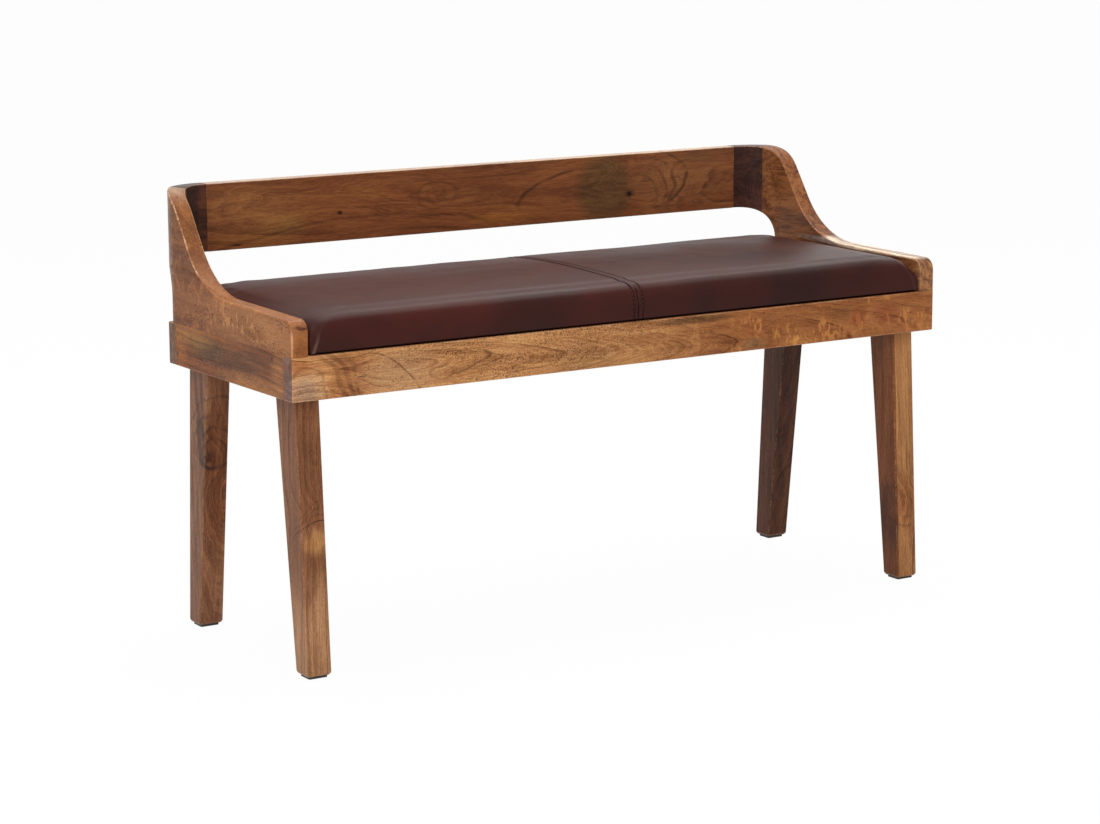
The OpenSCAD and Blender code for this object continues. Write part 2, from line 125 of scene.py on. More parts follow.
def newMaterial(name):
    material = bpy.data.materials.new(name)
    material.use_nodes = True
    material.node_tree.nodes.clear()
    wires = Wiring(material.node_tree)
    surface = wires.add("ShaderNodeBsdfPrincipled")
    output = wires.add("ShaderNodeOutputMaterial")
    wires.plug(surface.outputs[0], output.inputs["Surface"])
    return material, wires, surface


def bumpNormal(wires, height, strength, distance):
    inputs = {"Strength": strength, "Distance": distance, "Height": height}
    return wires.add("ShaderNodeBump", inputs).outputs[0]


def addObject(name, data):
    added = bpy.data.objects.new(name, data)
    bpy.context.scene.collection.objects.link(added)
    return added


def shapeObject(name, shape):  # a finished bmesh becomes the mesh of a new object
    mesh = bpy.data.meshes.new(name)
    shape.to_mesh(mesh)
    shape.free()
    return addObject(name, mesh)


def dress(piece, material):
    piece.data.materials.clear()
    piece.data.materials.append(material)


def newPiece(name, shape, material, slot, *nodes):  # a piece of the bench, which may stand for CAD nodes
    piece = shapeObject(name, shape)
    dress(piece, material)
    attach(piece, "root")
    if nodes:
        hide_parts(*nodes)
    return piece


def smoothFaces(shape):
    for face in shape.faces:
        face.smooth = True


def cutAcross(shape, x, slack, **clear):  # cuts the whole shape at one place along the bench
    bmesh.ops.bisect_plane(shape, geom=shape.verts[:] + shape.edges[:] + shape.faces[:], dist=slack,
                           plane_co=(x, 0, 0), plane_no=(1, 0, 0), **clear)


def bakeModifiers(piece):  # puts what the modifiers make into the mesh itself
    bpy.context.view_layer.update()
    old = piece.data
    graph = bpy.context.evaluated_depsgraph_get()
    piece.data = bpy.data.meshes.new_from_object(piece.evaluated_get(graph), preserve_all_data_layers=True,
                                                 depsgraph=graph)
    piece.modifiers.clear()
    bpy.data.meshes.remove(old)


def addWeighted(piece):  # flat faces stay flat beside their rounded edges
    weighted = piece.modifiers.new("weighted", "WEIGHTED_NORMAL")
    weighted.keep_sharp = True
    bakeModifiers(piece)


# Wood

grainTurn = {  # turns the world so that the grain runs along X
    "x": (0.0, 0.0, 0.0),
    "y": (0.0, 0.0, math.radians(-90)),
    "z": (math.radians(90), 0.0, math.radians(90)),
}


def buildSpot():  # how far a point is from a spot, and a round hill over it
    group, wires, given, result = newGroup(
        "spot", {"Vector": "vector", "Centre": "vector", "Size": "vector"},
        {"Distance": "value", "Hill": "value"})
    away = wires.vector("DIVIDE", wires.vector("SUBTRACT", given["Vector"], given["Centre"]), given["Size"])
    distance = wires.vector("LENGTH", away)
    wires.plug(distance, result["Distance"])
    square = wires.maths("MULTIPLY", distance, distance)
    wires.plug(wires.maths("EXPONENT", wires.maths("MULTIPLY", square, -1.0)), result["Hill"])
    return group


def buildBoardFigure():  # growth rings, bands, streaks, pores and curl of one board, with the grain along X
    group, wires, given, result = newGroup("boardFigure", {
        "Vector": "vector", "Seed": "value", "Pith": "vector", "Lean": "vector", "Rings": "value",
        "Wander": "value", "Bend": "value", "Lines": "value", "Flow": "value", "Bands": "value",
        "Streaks": "value", "Gold": "value", "Pores": "value", "Speckle": "value", "Curl": "value",
        "Light": "colour", "Pale": "colour", "Middle": "colour", "Deep": "colour", "Dark": "colour"},
        {"Color": "colour", "Height": "value", "Tone": "value"})
    place = given["Vector"]
    shift = wires.vector("SCALE", (3.1, 7.7, 5.3))
    wires.plug(given["Seed"], shift.node.inputs["Scale"])
    seeded = wires.vector("ADD", place, shift)

    # distance from the pith, wandering a little, gives the rings
    sway = wires.sway(seeded, (3.0, 15.0, 15.0))
    swayed = wires.vector("SCALE", sway)
    wires.plug(given["Wander"], swayed.node.inputs["Scale"])
    drift = wires.vector("SCALE", given["Lean"])
    wires.plug(wires.part(place, 0), drift.node.inputs["Scale"])
    heart = wires.vector("ADD", given["Pith"], drift)
    offset = wires.vector("ADD", wires.vector("SUBTRACT", place, heart), swayed)
    radius = wires.vector("LENGTH", wires.vector("MULTIPLY", offset, (0.0, 1.0, 1.0)))
    ripple = wires.noise(seeded, (14.0, 60.0, 60.0), 4.0, 0.6)[0]
    field = wires.maths("MULTIPLY_ADD", radius, given["Rings"], given["Bend"])
    field = wires.maths("MULTIPLY_ADD", ripple, 0.45, field)
    phase = wires.maths("FRACT", field)
    ringLuck = wires.add("ShaderNodeTexWhiteNoise", {"W": wires.maths("FLOOR", field)},
                         noise_dimensions="1D").outputs["Value"]
    fade = wires.remap(wires.noise(seeded, (6.0, 26.0, 26.0), 3.0)[0], 0.38, 0.6, 0.1, 1.0)
    strength = wires.maths("MULTIPLY", wires.remap(ringLuck, 0.0, 1.0, 0.3, 1.0), fade)
    ringTone = wires.maths("MULTIPLY", wires.remap(phase, 0.2, 0.94), wires.remap(phase, 1.0, 0.965))
    ringTone = wires.maths("MULTIPLY", ringTone, strength)
    line = wires.maths("MULTIPLY", wires.remap(phase, 0.88, 0.945), wires.remap(phase, 1.0, 0.965))
    line = wires.maths("MULTIPLY", line, strength)
    flow = wires.add("ShaderNodeTexNoise", {"W": field, "Scale": 7.0, "Detail": 4.0, "Roughness": 0.62},
                     noise_dimensions="1D").outputs[0]
    flow = wires.remap(flow, 0.36, 0.64)

    # bands and streaks that wander along the grain, and the fibres
    waved = wires.vector("ADD", seeded, wires.vector("MULTIPLY", sway, (0.0, 0.05, 0.05)))
    band = wires.remap(wires.noise(seeded, (3.2, 19.0, 19.0), 3.0, 0.55)[0], 0.36, 0.64)
    streak = wires.remap(wires.noise(waved, (6.0, 120.0, 120.0), 5.0, 0.68)[0], 0.38, 0.62)
    golden = wires.remap(wires.noise(waved, (7.0, 75.0, 95.0), 5.0, 0.65)[0], 0.53, 0.66)
    fibre = wires.remap(wires.noise(waved, (60.0, 800.0, 800.0), 3.0, 0.6)[0], 0.32, 0.68)

    # short dark pores, thicker towards the end of a ring, and a fine speckle
    pore = wires.noise(waved, (190.0, 640.0, 640.0), 3.0, 0.7)[0]
    pore = wires.remap(wires.maths("MULTIPLY_ADD", ringTone, 0.035, pore), 0.56, 0.66)
    grit = wires.remap(wires.noise(waved, (480.0, 640.0, 640.0), 3.0, 0.75)[0], 0.49, 0.6)
    gritArea = wires.remap(wires.noise(seeded, (7.0, 24.0, 24.0), 3.0, 0.6)[0], 0.4, 0.62, 0.35, 1.0)
    grit = wires.maths("MULTIPLY", wires.maths("MULTIPLY", grit, gritArea), given["Speckle"])

    # pale curl, across the grain
    curl = wires.noise(seeded, (120.0, 62.0, 62.0), 4.0, 0.62, 0.5)[0]
    curlArea = wires.remap(wires.noise(seeded, (20.0, 34.0, 34.0), 2.0)[0], 0.45, 0.6)
    curl = wires.maths("MULTIPLY", wires.remap(curl, 0.51, 0.6), curlArea)

    tone = 0.42
    for share, amount in ((band, given["Bands"]), (streak, given["Streaks"]), (flow, given["Flow"])):
        tone = wires.maths("MULTIPLY_ADD", wires.maths("SUBTRACT", share, 0.5), amount, tone)
    tone = wires.maths("MULTIPLY_ADD", ringTone, 0.35, tone)
    tone = wires.maths("MULTIPLY_ADD", wires.maths("SUBTRACT", fibre, 0.5), 0.34, tone)
    colour = wires.mix(wires.maths("MULTIPLY", tone, 2.0, clamp=True), given["Pale"], given["Middle"])
    colour = wires.mix(wires.maths("MULTIPLY_ADD", tone, 2.0, -1.0, clamp=True), colour, given["Deep"])
    colour = wires.mix(wires.maths("MULTIPLY", golden, given["Gold"]), colour, given["Light"])
    colour = wires.mix(wires.maths("MULTIPLY", line, given["Lines"]), colour, given["Dark"])
    colour = wires.mix(wires.maths("MULTIPLY", grit, 0.8, clamp=True), colour, given["Dark"])
    colour = wires.mix(wires.maths("MULTIPLY", pore, given["Pores"]), colour, given["Dark"])
    colour = wires.mix(wires.maths("MULTIPLY", curl, given["Curl"], clamp=True), colour, given["Light"])
    wires.plug(colour, result["Color"])

    dent = wires.maths("MAXIMUM", line, wires.maths("MULTIPLY", pore, given["Pores"]))
    dent = wires.maths("MAXIMUM", dent, grit)
    wires.plug(dent, result["Tone"])
    wires.plug(wires.maths("SUBTRACT", wires.maths("MULTIPLY", fibre, 0.5), dent), result["Height"])
    return group


def buildEdgeWear():  # where hands and feet have rubbed the finish off the edges
    group, wires, given, result = newGroup(
        "edgeWear", {"Vector": "vector", "Edge": "value", "Amount": "value"}, {"Mask": "value"})
    patches = wires.noise(given["Vector"], (26.0, 26.0, 26.0), 3.0, 0.6)[0]
    chips = wires.noise(given["Vector"], (330.0, 330.0, 330.0), 3.0, 0.65)[0]
    rough = wires.maths("MULTIPLY", wires.remap(patches, 0.38, 0.62, 0.15, 1.0),
                        wires.remap(chips, 0.4, 0.6, 0.15, 1.0))
    mask = wires.maths("MULTIPLY", wires.remap(given["Edge"], 0.1, 0.9), rough)
    wires.plug(wires.maths("MULTIPLY", mask, given["Amount"], clamp=True), result["Mask"])
    return group


spotGroup = buildSpot()
boardFigure = buildBoardFigure()
edgeWear = buildEdgeWear()


def woodMaterial(name, board):
    material, wires, surface = newMaterial(name)
    turn = grainTurn[board["grain"]]
    turned = Euler(turn).to_matrix()
    grain = wires.add("ShaderNodeMapping", {"Vector": wires.place(), "Rotation": turn}).outputs[0]
    facing = wires.add("ShaderNodeMapping", {"Vector": wires.place("Normal"), "Rotation": turn},
                       vector_type="VECTOR").outputs[0]
    wobble = wires.vector("MULTIPLY", wires.sway(grain, (34.0, 60.0, 60.0), 4.0, 0.62), finish["wobble"])
    wobbled = wires.vector("ADD", grain, wobble)
    bow = wires.vector("MULTIPLY", wires.sway(grain, (9.0, 19.0, 19.0), 2.0, 0.4), finish["bow"])
    swayed = wires.vector("ADD", grain, bow)

    def spot(place, size, where=None):   # a small spot keeps its place and outline
        node = wires.add("ShaderNodeGroup", node_tree=spotGroup)
        wires.plug(where or (grain if min(size) < finish["smallSpot"] else wobbled), node.inputs["Vector"])
        wires.plug(turned @ Vector(place), node.inputs["Centre"])
        wires.plug([abs(value) for value in turned @ Vector(size)], node.inputs["Size"])
        return node.outputs

    bend = board.get("bend", 0.0)
    for place, size, rings in board.get("swirls", []):
        bend = wires.maths("MULTIPLY_ADD", spot(place, size, swayed)["Hill"], rings, bend)
    local = {"curl": board.get("curl", 0.0), "speckle": board.get("speckle", figureUsual["speckle"]),
             "wear": board.get("wear", finish["wear"])}
    for key in local:   # these may be strongest at one place
        if key + "At" in board:
            local[key] = wires.maths("MULTIPLY", spot(*board[key + "At"], wobbled)["Hill"], local[key])
    if "calmAt" in board:   # no streaks run through a knot
        calm = wires.maths("SUBTRACT", 1.0, spot(*board["calmAt"], wobbled)["Hill"])
        for key in ("streaks", "bands"):
            local[key] = wires.maths("MULTIPLY", calm, board[key])
    figure = wires.add("ShaderNodeGroup", node_tree=boardFigure)
    linear = [srgb(*shade) for shade in board["shades"]]
    shades = dict(zip(("Light", "Pale", "Middle", "Deep", "Dark"), linear))
    settings = {
        "Vector": grain, "Pith": turned @ Vector(board["pith"]),
        "Lean": turned @ Vector(board.get("lean", (0, 0, 0))), "Bend": bend, "Curl": local["curl"], **shades}
    for key, usual in figureUsual.items():
        settings[key.capitalize()] = local.get(key, board.get(key, usual))
    for key, value in settings.items():
        wires.plug(value, figure.inputs[key])
    colour = figure.outputs["Color"]

    # stains, and the painted highlights, reflections and shade among them, keep the figure under them, and
    # veins are thin dark lines round a spot
    relative = wires.mix(1.0, colour, shades["Middle"], "DIVIDE")
    for place, size, shade, amount, soft in board.get("stainsAndPaintedLight", []):
        share = wires.remap(spot(place, size)["Distance"], 1 + soft, 1 - soft, 0.0, amount)
        colour = wires.mix(share, colour, wires.mix(1.0, relative, srgb(*shade), "MULTIPLY"))
    patchy = wires.remap(wires.noise(grain, (16.0, 50.0, 50.0), 3.0, 0.6)[0], 0.34, 0.56, 0.2, 1.0)
    for place, size, amount, width, *window in board.get("veins", []):
        apart = wires.maths("ABSOLUTE", wires.maths("SUBTRACT", spot(place, size, swayed)["Distance"], 1.0))
        share = wires.maths("MULTIPLY", wires.remap(apart, width, width * 0.2, 0.0, amount), patchy)
        for opening in window:
            share = wires.maths("MULTIPLY", share, wires.remap(spot(*opening)["Distance"], 1.3, 0.8))
        colour = wires.mix(share, colour, shades["Dark"])

    # sawn ends, then worn edges
    across = wires.maths("ABSOLUTE", wires.part(facing, 0))
    end = wires.maths("MULTIPLY", wires.remap(across, 0.7, 0.95), board.get("end", 1.0))
    colour = wires.mix(end, colour, wires.mix(1.0, colour, finish["sawnTint"], "MULTIPLY"))
    wear = wires.add("ShaderNodeGroup", node_tree=edgeWear)
    edge = wires.add("ShaderNodeAttribute", attribute_name="wornEdge").outputs["Fac"]
    for key, value in {"Vector": grain, "Edge": edge, "Amount": local["wear"]}.items():
        wires.plug(value, wear.inputs[key])
    colour = wires.mix(wear.outputs["Mask"], colour, srgb(*board.get("worn", finish["worn"])))
    wires.plug(colour, surface.inputs["Base Color"])
    roughness = wires.remap(figure.outputs["Tone"], 0.0, 1.0, *finish["roughness"])
    wires.plug(roughness, surface.inputs["Roughness"])
    wires.plug(bumpNormal(wires, figure.outputs["Height"], *finish["bump"]), surface.inputs["Normal"])
    surface.inputs["Specular IOR Level"].default_value = finish["specular"]
    return material


finish = {"wobble": (0.034, 0.015, 0.015), "bow": (0.05, 0.02, 0.02), "smallSpot": 0.007,
          "sawnTint": (0.42, 0.44, 0.80, 1.0), "roughness": (0.33, 0.56), "bump": (0.4, 0.0004),
          "specular": 0.12, "wear": 0.7, "worn": (206, 160, 122)}
figureUsual = {"seed": 0.0, "rings": 90.0, "wander": 0.02, "lines": 0.6, "flow": 0.35, "bands": 0.5,
               "streaks": 0.5, "gold": 0.25, "pores": 0.4, "speckle": 0.35}

# faces that the figure is placed on
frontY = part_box("front_rail")[0].y
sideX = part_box("right_side_rail")[1].x
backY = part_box("backrest_board")[0].y
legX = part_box("front_right_leg")[0].x

# Places and sizes are in metres, and colours are display values. The five shades run from light to dark. A
# swirl says where, how far and how many rings; a stain where, how far, its colour, how strong and how soft; a
# vein where, how far, how strong, how wide and, for some, the window that it is seen through. Some stains
# are painted light or shade: a highlight along a top edge, reflections on a rounded corner and a top face,
# and shade on a leg's inner face.
boards = {
    "frontRail": {
        "node": "front_rail", "slot": "honey_wood", "grain": "x", "box": True, "seed": 3.1,
        "pith": (0.0, -0.172, 0.408), "lean": (0.0, 0.087, -0.04), "rings": 108.0, "wander": 0.012,
        "bend": 0.3, "lines": 0.55, "flow": 0.3, "bands": 0.32, "streaks": 0.3, "gold": 0.3, "pores": 0.5,
        "speckle": 1.1, "speckleAt": ((-0.20, frontY, 0.42), (0.42, 0.2, 0.2)), "curl": 1.7,
        "curlAt": ((0.37, frontY, 0.412), (0.21, 0.08, 0.07)),
        "calmAt": ((-0.515, frontY, 0.405), (0.050, 0.08, 0.05)),
        "shades": [(238, 180, 110), (220, 164, 105), (194, 135, 85), (152, 98, 55), (78, 44, 22)],
        "swirls": [((-0.528, frontY, 0.401), (0.060, 0.06, 0.05), 3.2),
                   ((-0.460, frontY, 0.414), (0.040, 0.06, 0.05), 1.5)],
        "stainsAndPaintedLight": [
            ((0.36, frontY, 0.42), (0.29, 0.06, 0.09), (137, 75, 36), 0.85, 0.45),
            ((-0.458, frontY, 0.412), (0.030, 0.03, 0.045), (158, 92, 50), 0.6, 0.6),
            ((-0.528, frontY, 0.401), (0.029, 0.03, 0.028), (208, 160, 122), 0.55, 0.4),
            ((-0.530, frontY, 0.401), (0.018, 0.03, 0.017), (166, 130, 106), 0.65, 0.5),
            ((-0.540, frontY, 0.435), (0.020, 0.03, 0.010), (184, 112, 66), 0.6, 0.6),
            ((-0.443, frontY, 0.414), (0.007, 0.01, 0.0012), (50, 22, 12), 0.9, 0.4),
            ((-0.385, frontY, 0.412), (0.060, 0.03, 0.030), (180, 134, 96), 0.6, 0.6),
            ((-0.075, frontY, 0.405), (0.060, 0.03, 0.020), (150, 108, 66), 0.35, 0.7),
            ((0.113, frontY, 0.4425), (0.06, 0.02, 0.005), (92, 62, 32), 0.75, 0.5),
            ((0.213, frontY, 0.398), (0.018, 0.02, 0.008), (118, 88, 58), 0.55, 0.6),
            ((0.372, frontY, 0.429), (0.018, 0.02, 0.010), (118, 70, 34), 0.65, 0.7),
            ((0.405, frontY, 0.420), (0.012, 0.02, 0.016), (122, 58, 32), 0.75, 0.6),
            ((0.460, frontY, 0.420), (0.022, 0.02, 0.014), (124, 60, 34), 0.7, 0.6),
            ((0.300, frontY, 0.396), (0.024, 0.02, 0.008), (178, 116, 62), 0.5, 0.8)],
        "veins": [
            ((-0.335, frontY, 0.422), (0.092, 0.08, 0.0170), 0.65, 0.07,
             ((-0.275, frontY, 0.426), (0.075, 0.06, 0.022))),
            ((-0.318, frontY, 0.409), (0.017, 0.04, 0.0085), 0.35, 0.22),
            ((-0.470, frontY, 0.385), (0.120, 0.08, 0.061), 0.65, 0.022,
             ((-0.380, frontY, 0.420), (0.062, 0.06, 0.050))),
            ((-0.529, frontY, 0.402), (0.030, 0.08, 0.029), 0.3, 0.12),
            ((-0.545, frontY, 0.385), (0.075, 0.08, 0.075), 0.45, 0.08,
             ((-0.480, frontY, 0.410), (0.04, 0.06, 0.05))),
            ((-0.560, frontY, 0.370), (0.108, 0.08, 0.105), 0.55, 0.06,
             ((-0.470, frontY, 0.410), (0.04, 0.06, 0.05))),
            ((-0.565, frontY, 0.365), (0.125, 0.08, 0.122), 0.35, 0.05,
             ((-0.455, frontY, 0.410), (0.04, 0.06, 0.05)))]},
    "backRail": {
        "node": "back_rail", "slot": "brown_wood", "grain": "x", "box": True, "seed": 9.4, "end": 0.4,
        "pith": (0.0, 0.06, 0.44), "lean": (0.0, 0.05, 0.03), "rings": 80.0,
        "shades": [(190, 140, 96), (172, 124, 86), (144, 98, 66), (112, 72, 48), (64, 38, 26)]},
    "leftSideRail": {
        "node": "left_side_rail", "slot": "brown_wood", "grain": "y", "box": True, "seed": 5.7,
        "pith": (-0.50, 0.0, 0.30), "lean": (0.03, 0.0, 0.05), "rings": 110.0, "wander": 0.03,
        "lines": 0.1, "streaks": 0.28, "flow": 0.12, "gold": 0.3, "pores": 0.4, "speckle": 1.0,
        "shades": [(192, 107, 44), (164, 92, 36), (135, 74, 31), (101, 54, 21), (62, 42, 32)],
        "stainsAndPaintedLight": [
            ((-sideX, 0.128, 0.422), (0.02, 0.018, 0.05), (170, 98, 37), 0.7, 0.9),
            ((-sideX, -0.02, 0.424), (0.02, 0.11, 0.018), (101, 65, 31), 0.6, 0.7),
            ((-sideX, 0.036, 0.426), (0.02, 0.045, 0.015), (81, 54, 28), 0.75, 0.7),
            ((-sideX, -0.10, 0.393), (0.02, 0.085, 0.015), (186, 121, 64), 0.8, 0.7),
            ((-sideX, 0.09, 0.437), (0.02, 0.06, 0.012), (160, 110, 53), 0.55, 0.7),
            ((-sideX, -0.176, 0.410), (0.02, 0.018, 0.04), (184, 121, 68), 0.7, 0.9),
            ((-sideX, 0.137, 0.406), (0.01, 0.0030, 0.0034), (64, 25, 10), 0.8, 0.5),
            ((-sideX, -0.158, 0.440), (0.01, 0.0026, 0.0030), (62, 25, 10), 0.9, 0.5)]},
    "rightSideRail": {
        "node": "right_side_rail", "slot": "brown_wood", "grain": "y", "box": True, "seed": 15.2,
        "pith": (0.50, 0.0, 0.46), "lean": (0.03, 0.0, -0.05), "rings": 90.0,
        "shades": [(198, 146, 92), (178, 126, 80), (150, 100, 60), (112, 72, 44), (66, 40, 26)]},
    "backrest": {
        "node": "backrest_board", "slot": "red_wood", "grain": "x", "box": True, "seed": 7.9,
        "pith": (0.0, 0.26, 0.60), "lean": (0.0, -0.05, -0.03), "rings": 70.0, "wander": 0.04,
        "lines": 0.3, "flow": 0.22, "bands": 0.3, "streaks": 0.24, "gold": 0.16, "pores": 0.2,
        "speckle": 0.2, "worn": (196, 158, 130),
        "shades": [(187, 123, 69), (156, 95, 52), (129, 73, 41), (95, 52, 30), (40, 20, 12)],
        "swirls": [((0.290, backY, 0.590), (0.095, 0.05, 0.040), 2.0)],
        "stainsAndPaintedLight": [
            ((-0.415, backY, 0.602), (0.080, 0.03, 0.032), (150, 98, 58), 0.55, 0.7),
            ((-0.342, backY, 0.570), (0.034, 0.03, 0.014), (142, 98, 54), 0.6, 0.7),
            ((-0.400, backY, 0.555), (0.060, 0.03, 0.010), (143, 92, 47), 0.4, 0.8),
            ((0.030, backY, 0.556), (0.05, 0.03, 0.008), (160, 98, 45), 0.6, 0.7),
            ((0.220, backY, 0.588), (0.050, 0.03, 0.052), (90, 63, 37), 0.75, 0.3),
            ((0.400, backY, 0.627), (0.030, 0.03, 0.008), (90, 63, 39), 0.5, 0.6),
            ((0.430, backY, 0.590), (0.045, 0.03, 0.07), (130, 80, 48), 0.5, 0.5),
            ((0.330, backY, 0.592), (0.055, 0.03, 0.040), (142, 90, 56), 0.5, 0.6),
            ((-0.252, backY, 0.582), (0.0045, 0.02, 0.003), (39, 13, 6), 0.9, 0.5),
            ((-0.423, backY, 0.546), (0.007, 0.02, 0.0015), (43, 19, 10), 0.85, 0.5),
            ((0.267, backY, 0.576), (0.008, 0.02, 0.006), (54, 32, 19), 0.7, 0.6),
            ((0.267, backY, 0.576), (0.004, 0.02, 0.003), (16, 7, 4), 0.95, 0.4),
            # painted highlight: a pale line along the backrest's lit top edge
            ((0.0, backY, 0.6395), (3.0, 0.06, 0.0014), (198, 168, 146), 0.85, 0.3)],
        "veins": [
            ((0.262, backY, 0.571), (0.190, 0.08, 0.056), 0.6, 0.035,
             ((0.13, backY, 0.59), (0.08, 0.05, 0.06))),
            ((0.262, backY, 0.576), (0.062, 0.06, 0.032), 0.4, 0.09,
             ((0.33, backY, 0.59), (0.06, 0.05, 0.05))),
            ((0.262, backY, 0.584), (0.082, 0.06, 0.040), 0.45, 0.07,
             ((0.34, backY, 0.60), (0.06, 0.05, 0.05))),
            ((0.262, backY, 0.592), (0.100, 0.06, 0.046), 0.4, 0.06,
             ((0.35, backY, 0.60), (0.06, 0.05, 0.05))),
            ((0.262, backY, 0.600), (0.122, 0.06, 0.050), 0.6, 0.045,
             ((0.36, backY, 0.59), (0.06, 0.05, 0.06))),
            ((0.345, backY, 0.563), (0.024, 0.04, 0.009), 0.25, 0.30),
            ((-0.080, backY, 0.598), (0.016, 0.04, 0.011), 0.3, 0.24),
            ((-0.080, backY, 0.598), (0.034, 0.05, 0.020), 0.3, 0.16),
            ((-0.200, backY, 0.500), (0.300, 0.08, 0.075), 0.4, 0.04)]},
    "leftArm": {
        "node": "left_arm", "slot": "red_wood", "grain": "y", "seed": 21.3, "end": 0.0, "ease": 0.0024,
        "pith": (-0.70, 0.0, 0.45), "lean": (0.0, 0.0, 0.02), "rings": 40.0, "wander": 0.05,
        "lines": 0.1, "flow": 0.1, "bands": 0.6, "streaks": 0.15, "gold": 0.15, "pores": 0.35,
        "speckle": 1.8, "curl": 1.0, "curlAt": ((-0.556, -0.02, 0.50), (0.010, 0.3, 0.12)),
        "shades": [(192, 120, 68), (171, 104, 57), (147, 85, 42), (117, 62, 28), (80, 45, 28)],
        "worn": (240, 194, 148), "wear": 1.6,
        "wearAt": ((-sideX, 0.115, 0.570), (0.03, 0.085, 0.085)),
        "stainsAndPaintedLight": [
            ((-0.531, 0.090, 0.56), (0.019, 0.090, 0.090), (172, 107, 52), 0.75, 0.25),
            ((-0.549, frontY, 0.475), (0.0018, 0.0020, 0.030), (222, 172, 128), 0.65, 0.5),
            ((-0.535, frontY, 0.487), (0.014, 0.006, 0.0068), (116, 64, 38), 0.75, 0.7),
            ((-sideX, 0.17, 0.53), (0.05, 0.10, 0.10), (120, 73, 38), 0.55, 0.6),
            ((-sideX, -0.09, 0.47), (0.05, 0.13, 0.06), (166, 108, 60), 0.8, 0.6),
            ((-0.532, frontY, 0.4866), (0.007, 0.006, 0.0017), (60, 30, 20), 0.85, 0.7),
            ((-0.539, frontY, 0.4888), (0.005, 0.006, 0.0015), (66, 34, 22), 0.8, 0.7),
            # painted reflection: a pale sheen on the rounded rear corner
            ((-sideX, 0.188, 0.56), (0.05, 0.034, 0.20), (178, 148, 118), 0.7, 0.6)]},
    "rightArm": {
        "node": "right_arm", "slot": "red_wood", "grain": "y", "seed": 27.8, "end": 0.0, "ease": 0.0022,
        "pith": (0.60, 0.0, 0.58), "lean": (0.02, 0.0, 0.04), "rings": 70.0, "wander": 0.05,
        "lines": 0.5, "flow": 0.15, "bands": 0.3, "streaks": 0.7, "pores": 0.3, "speckle": 0.3, "curl": 0.1,
        "shades": [(181, 121, 72), (156, 99, 58), (125, 75, 44), (88, 50, 30), (48, 27, 18)],
        "worn": (206, 160, 120), "wear": 0.6,
        "stainsAndPaintedLight": [
            # painted reflection: a pale sheen along the arm's level top face and its top edges
            ((0.538, -0.10, 0.5025), (0.05, 0.17, 0.0068), (220, 192, 168), 0.95, 0.3),
            ((0.538, frontY, 0.475), (0.03, 0.02, 0.030), (160, 112, 76), 0.6, 0.6)]},
    "leftCorner": {
        "node": "left_back_corner", "slot": "dark_wood", "grain": "x", "seed": 33.0, "end": 0.3,
        "pith": (-0.5, 0.1, 0.56), "rings": 120.0, "lines": 0.4,
        "shades": [(78, 50, 36), (66, 40, 29), (50, 30, 22), (36, 21, 16), (22, 12, 9)],
        "worn": (170, 130, 104),
        "stainsAndPaintedLight": [((-0.474, backY, 0.585), (0.013, 0.05, 0.07), (88, 50, 34), 0.75, 0.6)]},
    "rightCorner": {
        "node": "right_back_corner", "slot": "dark_wood", "grain": "x", "seed": 38.6, "end": 0.0,
        "pith": (0.5, 0.1, 0.57), "rings": 120.0, "lines": 0.4,
        "shades": [(112, 66, 44), (90, 52, 40), (72, 42, 34), (54, 30, 26), (30, 17, 14)],
        "worn": (190, 150, 124),
        "stainsAndPaintedLight": [((0.530, 0.19, 0.60), (0.014, 0.05, 0.08), (120, 72, 42), 0.6, 0.7)]},
    "frontLeftLeg": {
        "node": "front_left_leg", "slot": "red_wood", "grain": "z", "seed": 41.1, "wear": 0.35, "bands": 0.35,
        "pith": (-0.47, -0.22, 0.0), "lean": (0.02, 0.03, 0.0), "rings": 110.0, "lines": 0.45,
        "streaks": 0.32, "pores": 0.35, "speckle": 0.45,
        "shades": [(170, 117, 76), (153, 103, 68), (131, 83, 54), (99, 60, 36), (64, 36, 24)],
        "swirls": [((-0.505, -0.205, 0.228), (0.05, 0.04, 0.030), 2.0)],
        "stainsAndPaintedLight": [
            ((-0.508, -0.20, 0.190), (0.018, 0.02, 0.016), (190, 134, 82), 0.6, 0.6),
            ((-0.500, -0.20, 0.155), (0.018, 0.03, 0.020), (114, 73, 43), 0.5, 0.7),
            ((-0.513, -0.19, 0.040), (0.04, 0.05, 0.085), (180, 130, 92), 0.8, 0.5)],
        "veins": [
            ((-0.505, -0.20, -0.100), (0.12, 0.12, 0.310), 0.75, 0.006),
            ((-0.505, -0.20, -0.100), (0.12, 0.12, 0.320), 0.4, 0.005),
            ((-0.500, -0.20, -0.100), (0.10, 0.12, 0.330), 0.4, 0.005),
            ((-0.500, -0.20, -0.100), (0.10, 0.12, 0.341), 0.35, 0.005)]},
    "frontRightLeg": {
        "node": "front_right_leg", "slot": "red_wood", "grain": "z", "seed": 46.5, "wear": 0.35,
        "pith": (0.56, -0.24, 0.0), "lean": (0.01, 0.03, 0.0), "rings": 80.0, "lines": 0.4,
        "bands": 0.35, "pores": 0.3, "speckle": 0.3, "streaks": 0.32,
        "shades": [(213, 156, 96), (192, 136, 84), (163, 110, 66), (120, 77, 45), (56, 32, 24)],
        "swirls": [((0.51, -0.205, 0.122), (0.04, 0.04, 0.034), 1.6)],
        "stainsAndPaintedLight": [
            # the inner face is darker wood, with painted shade from the seat above it added in
            ((legX, -0.17, 0.25), (0.0030, 0.30, 0.60), (104, 52, 22), 0.85, 0.25),
            ((legX, -0.19, 0.100), (0.0035, 0.03, 0.048), (66, 32, 22), 0.75, 0.5),
            ((0.512, -0.205, 0.120), (0.02, 0.02, 0.036), (150, 84, 44), 0.45, 0.7)],
        "veins": [
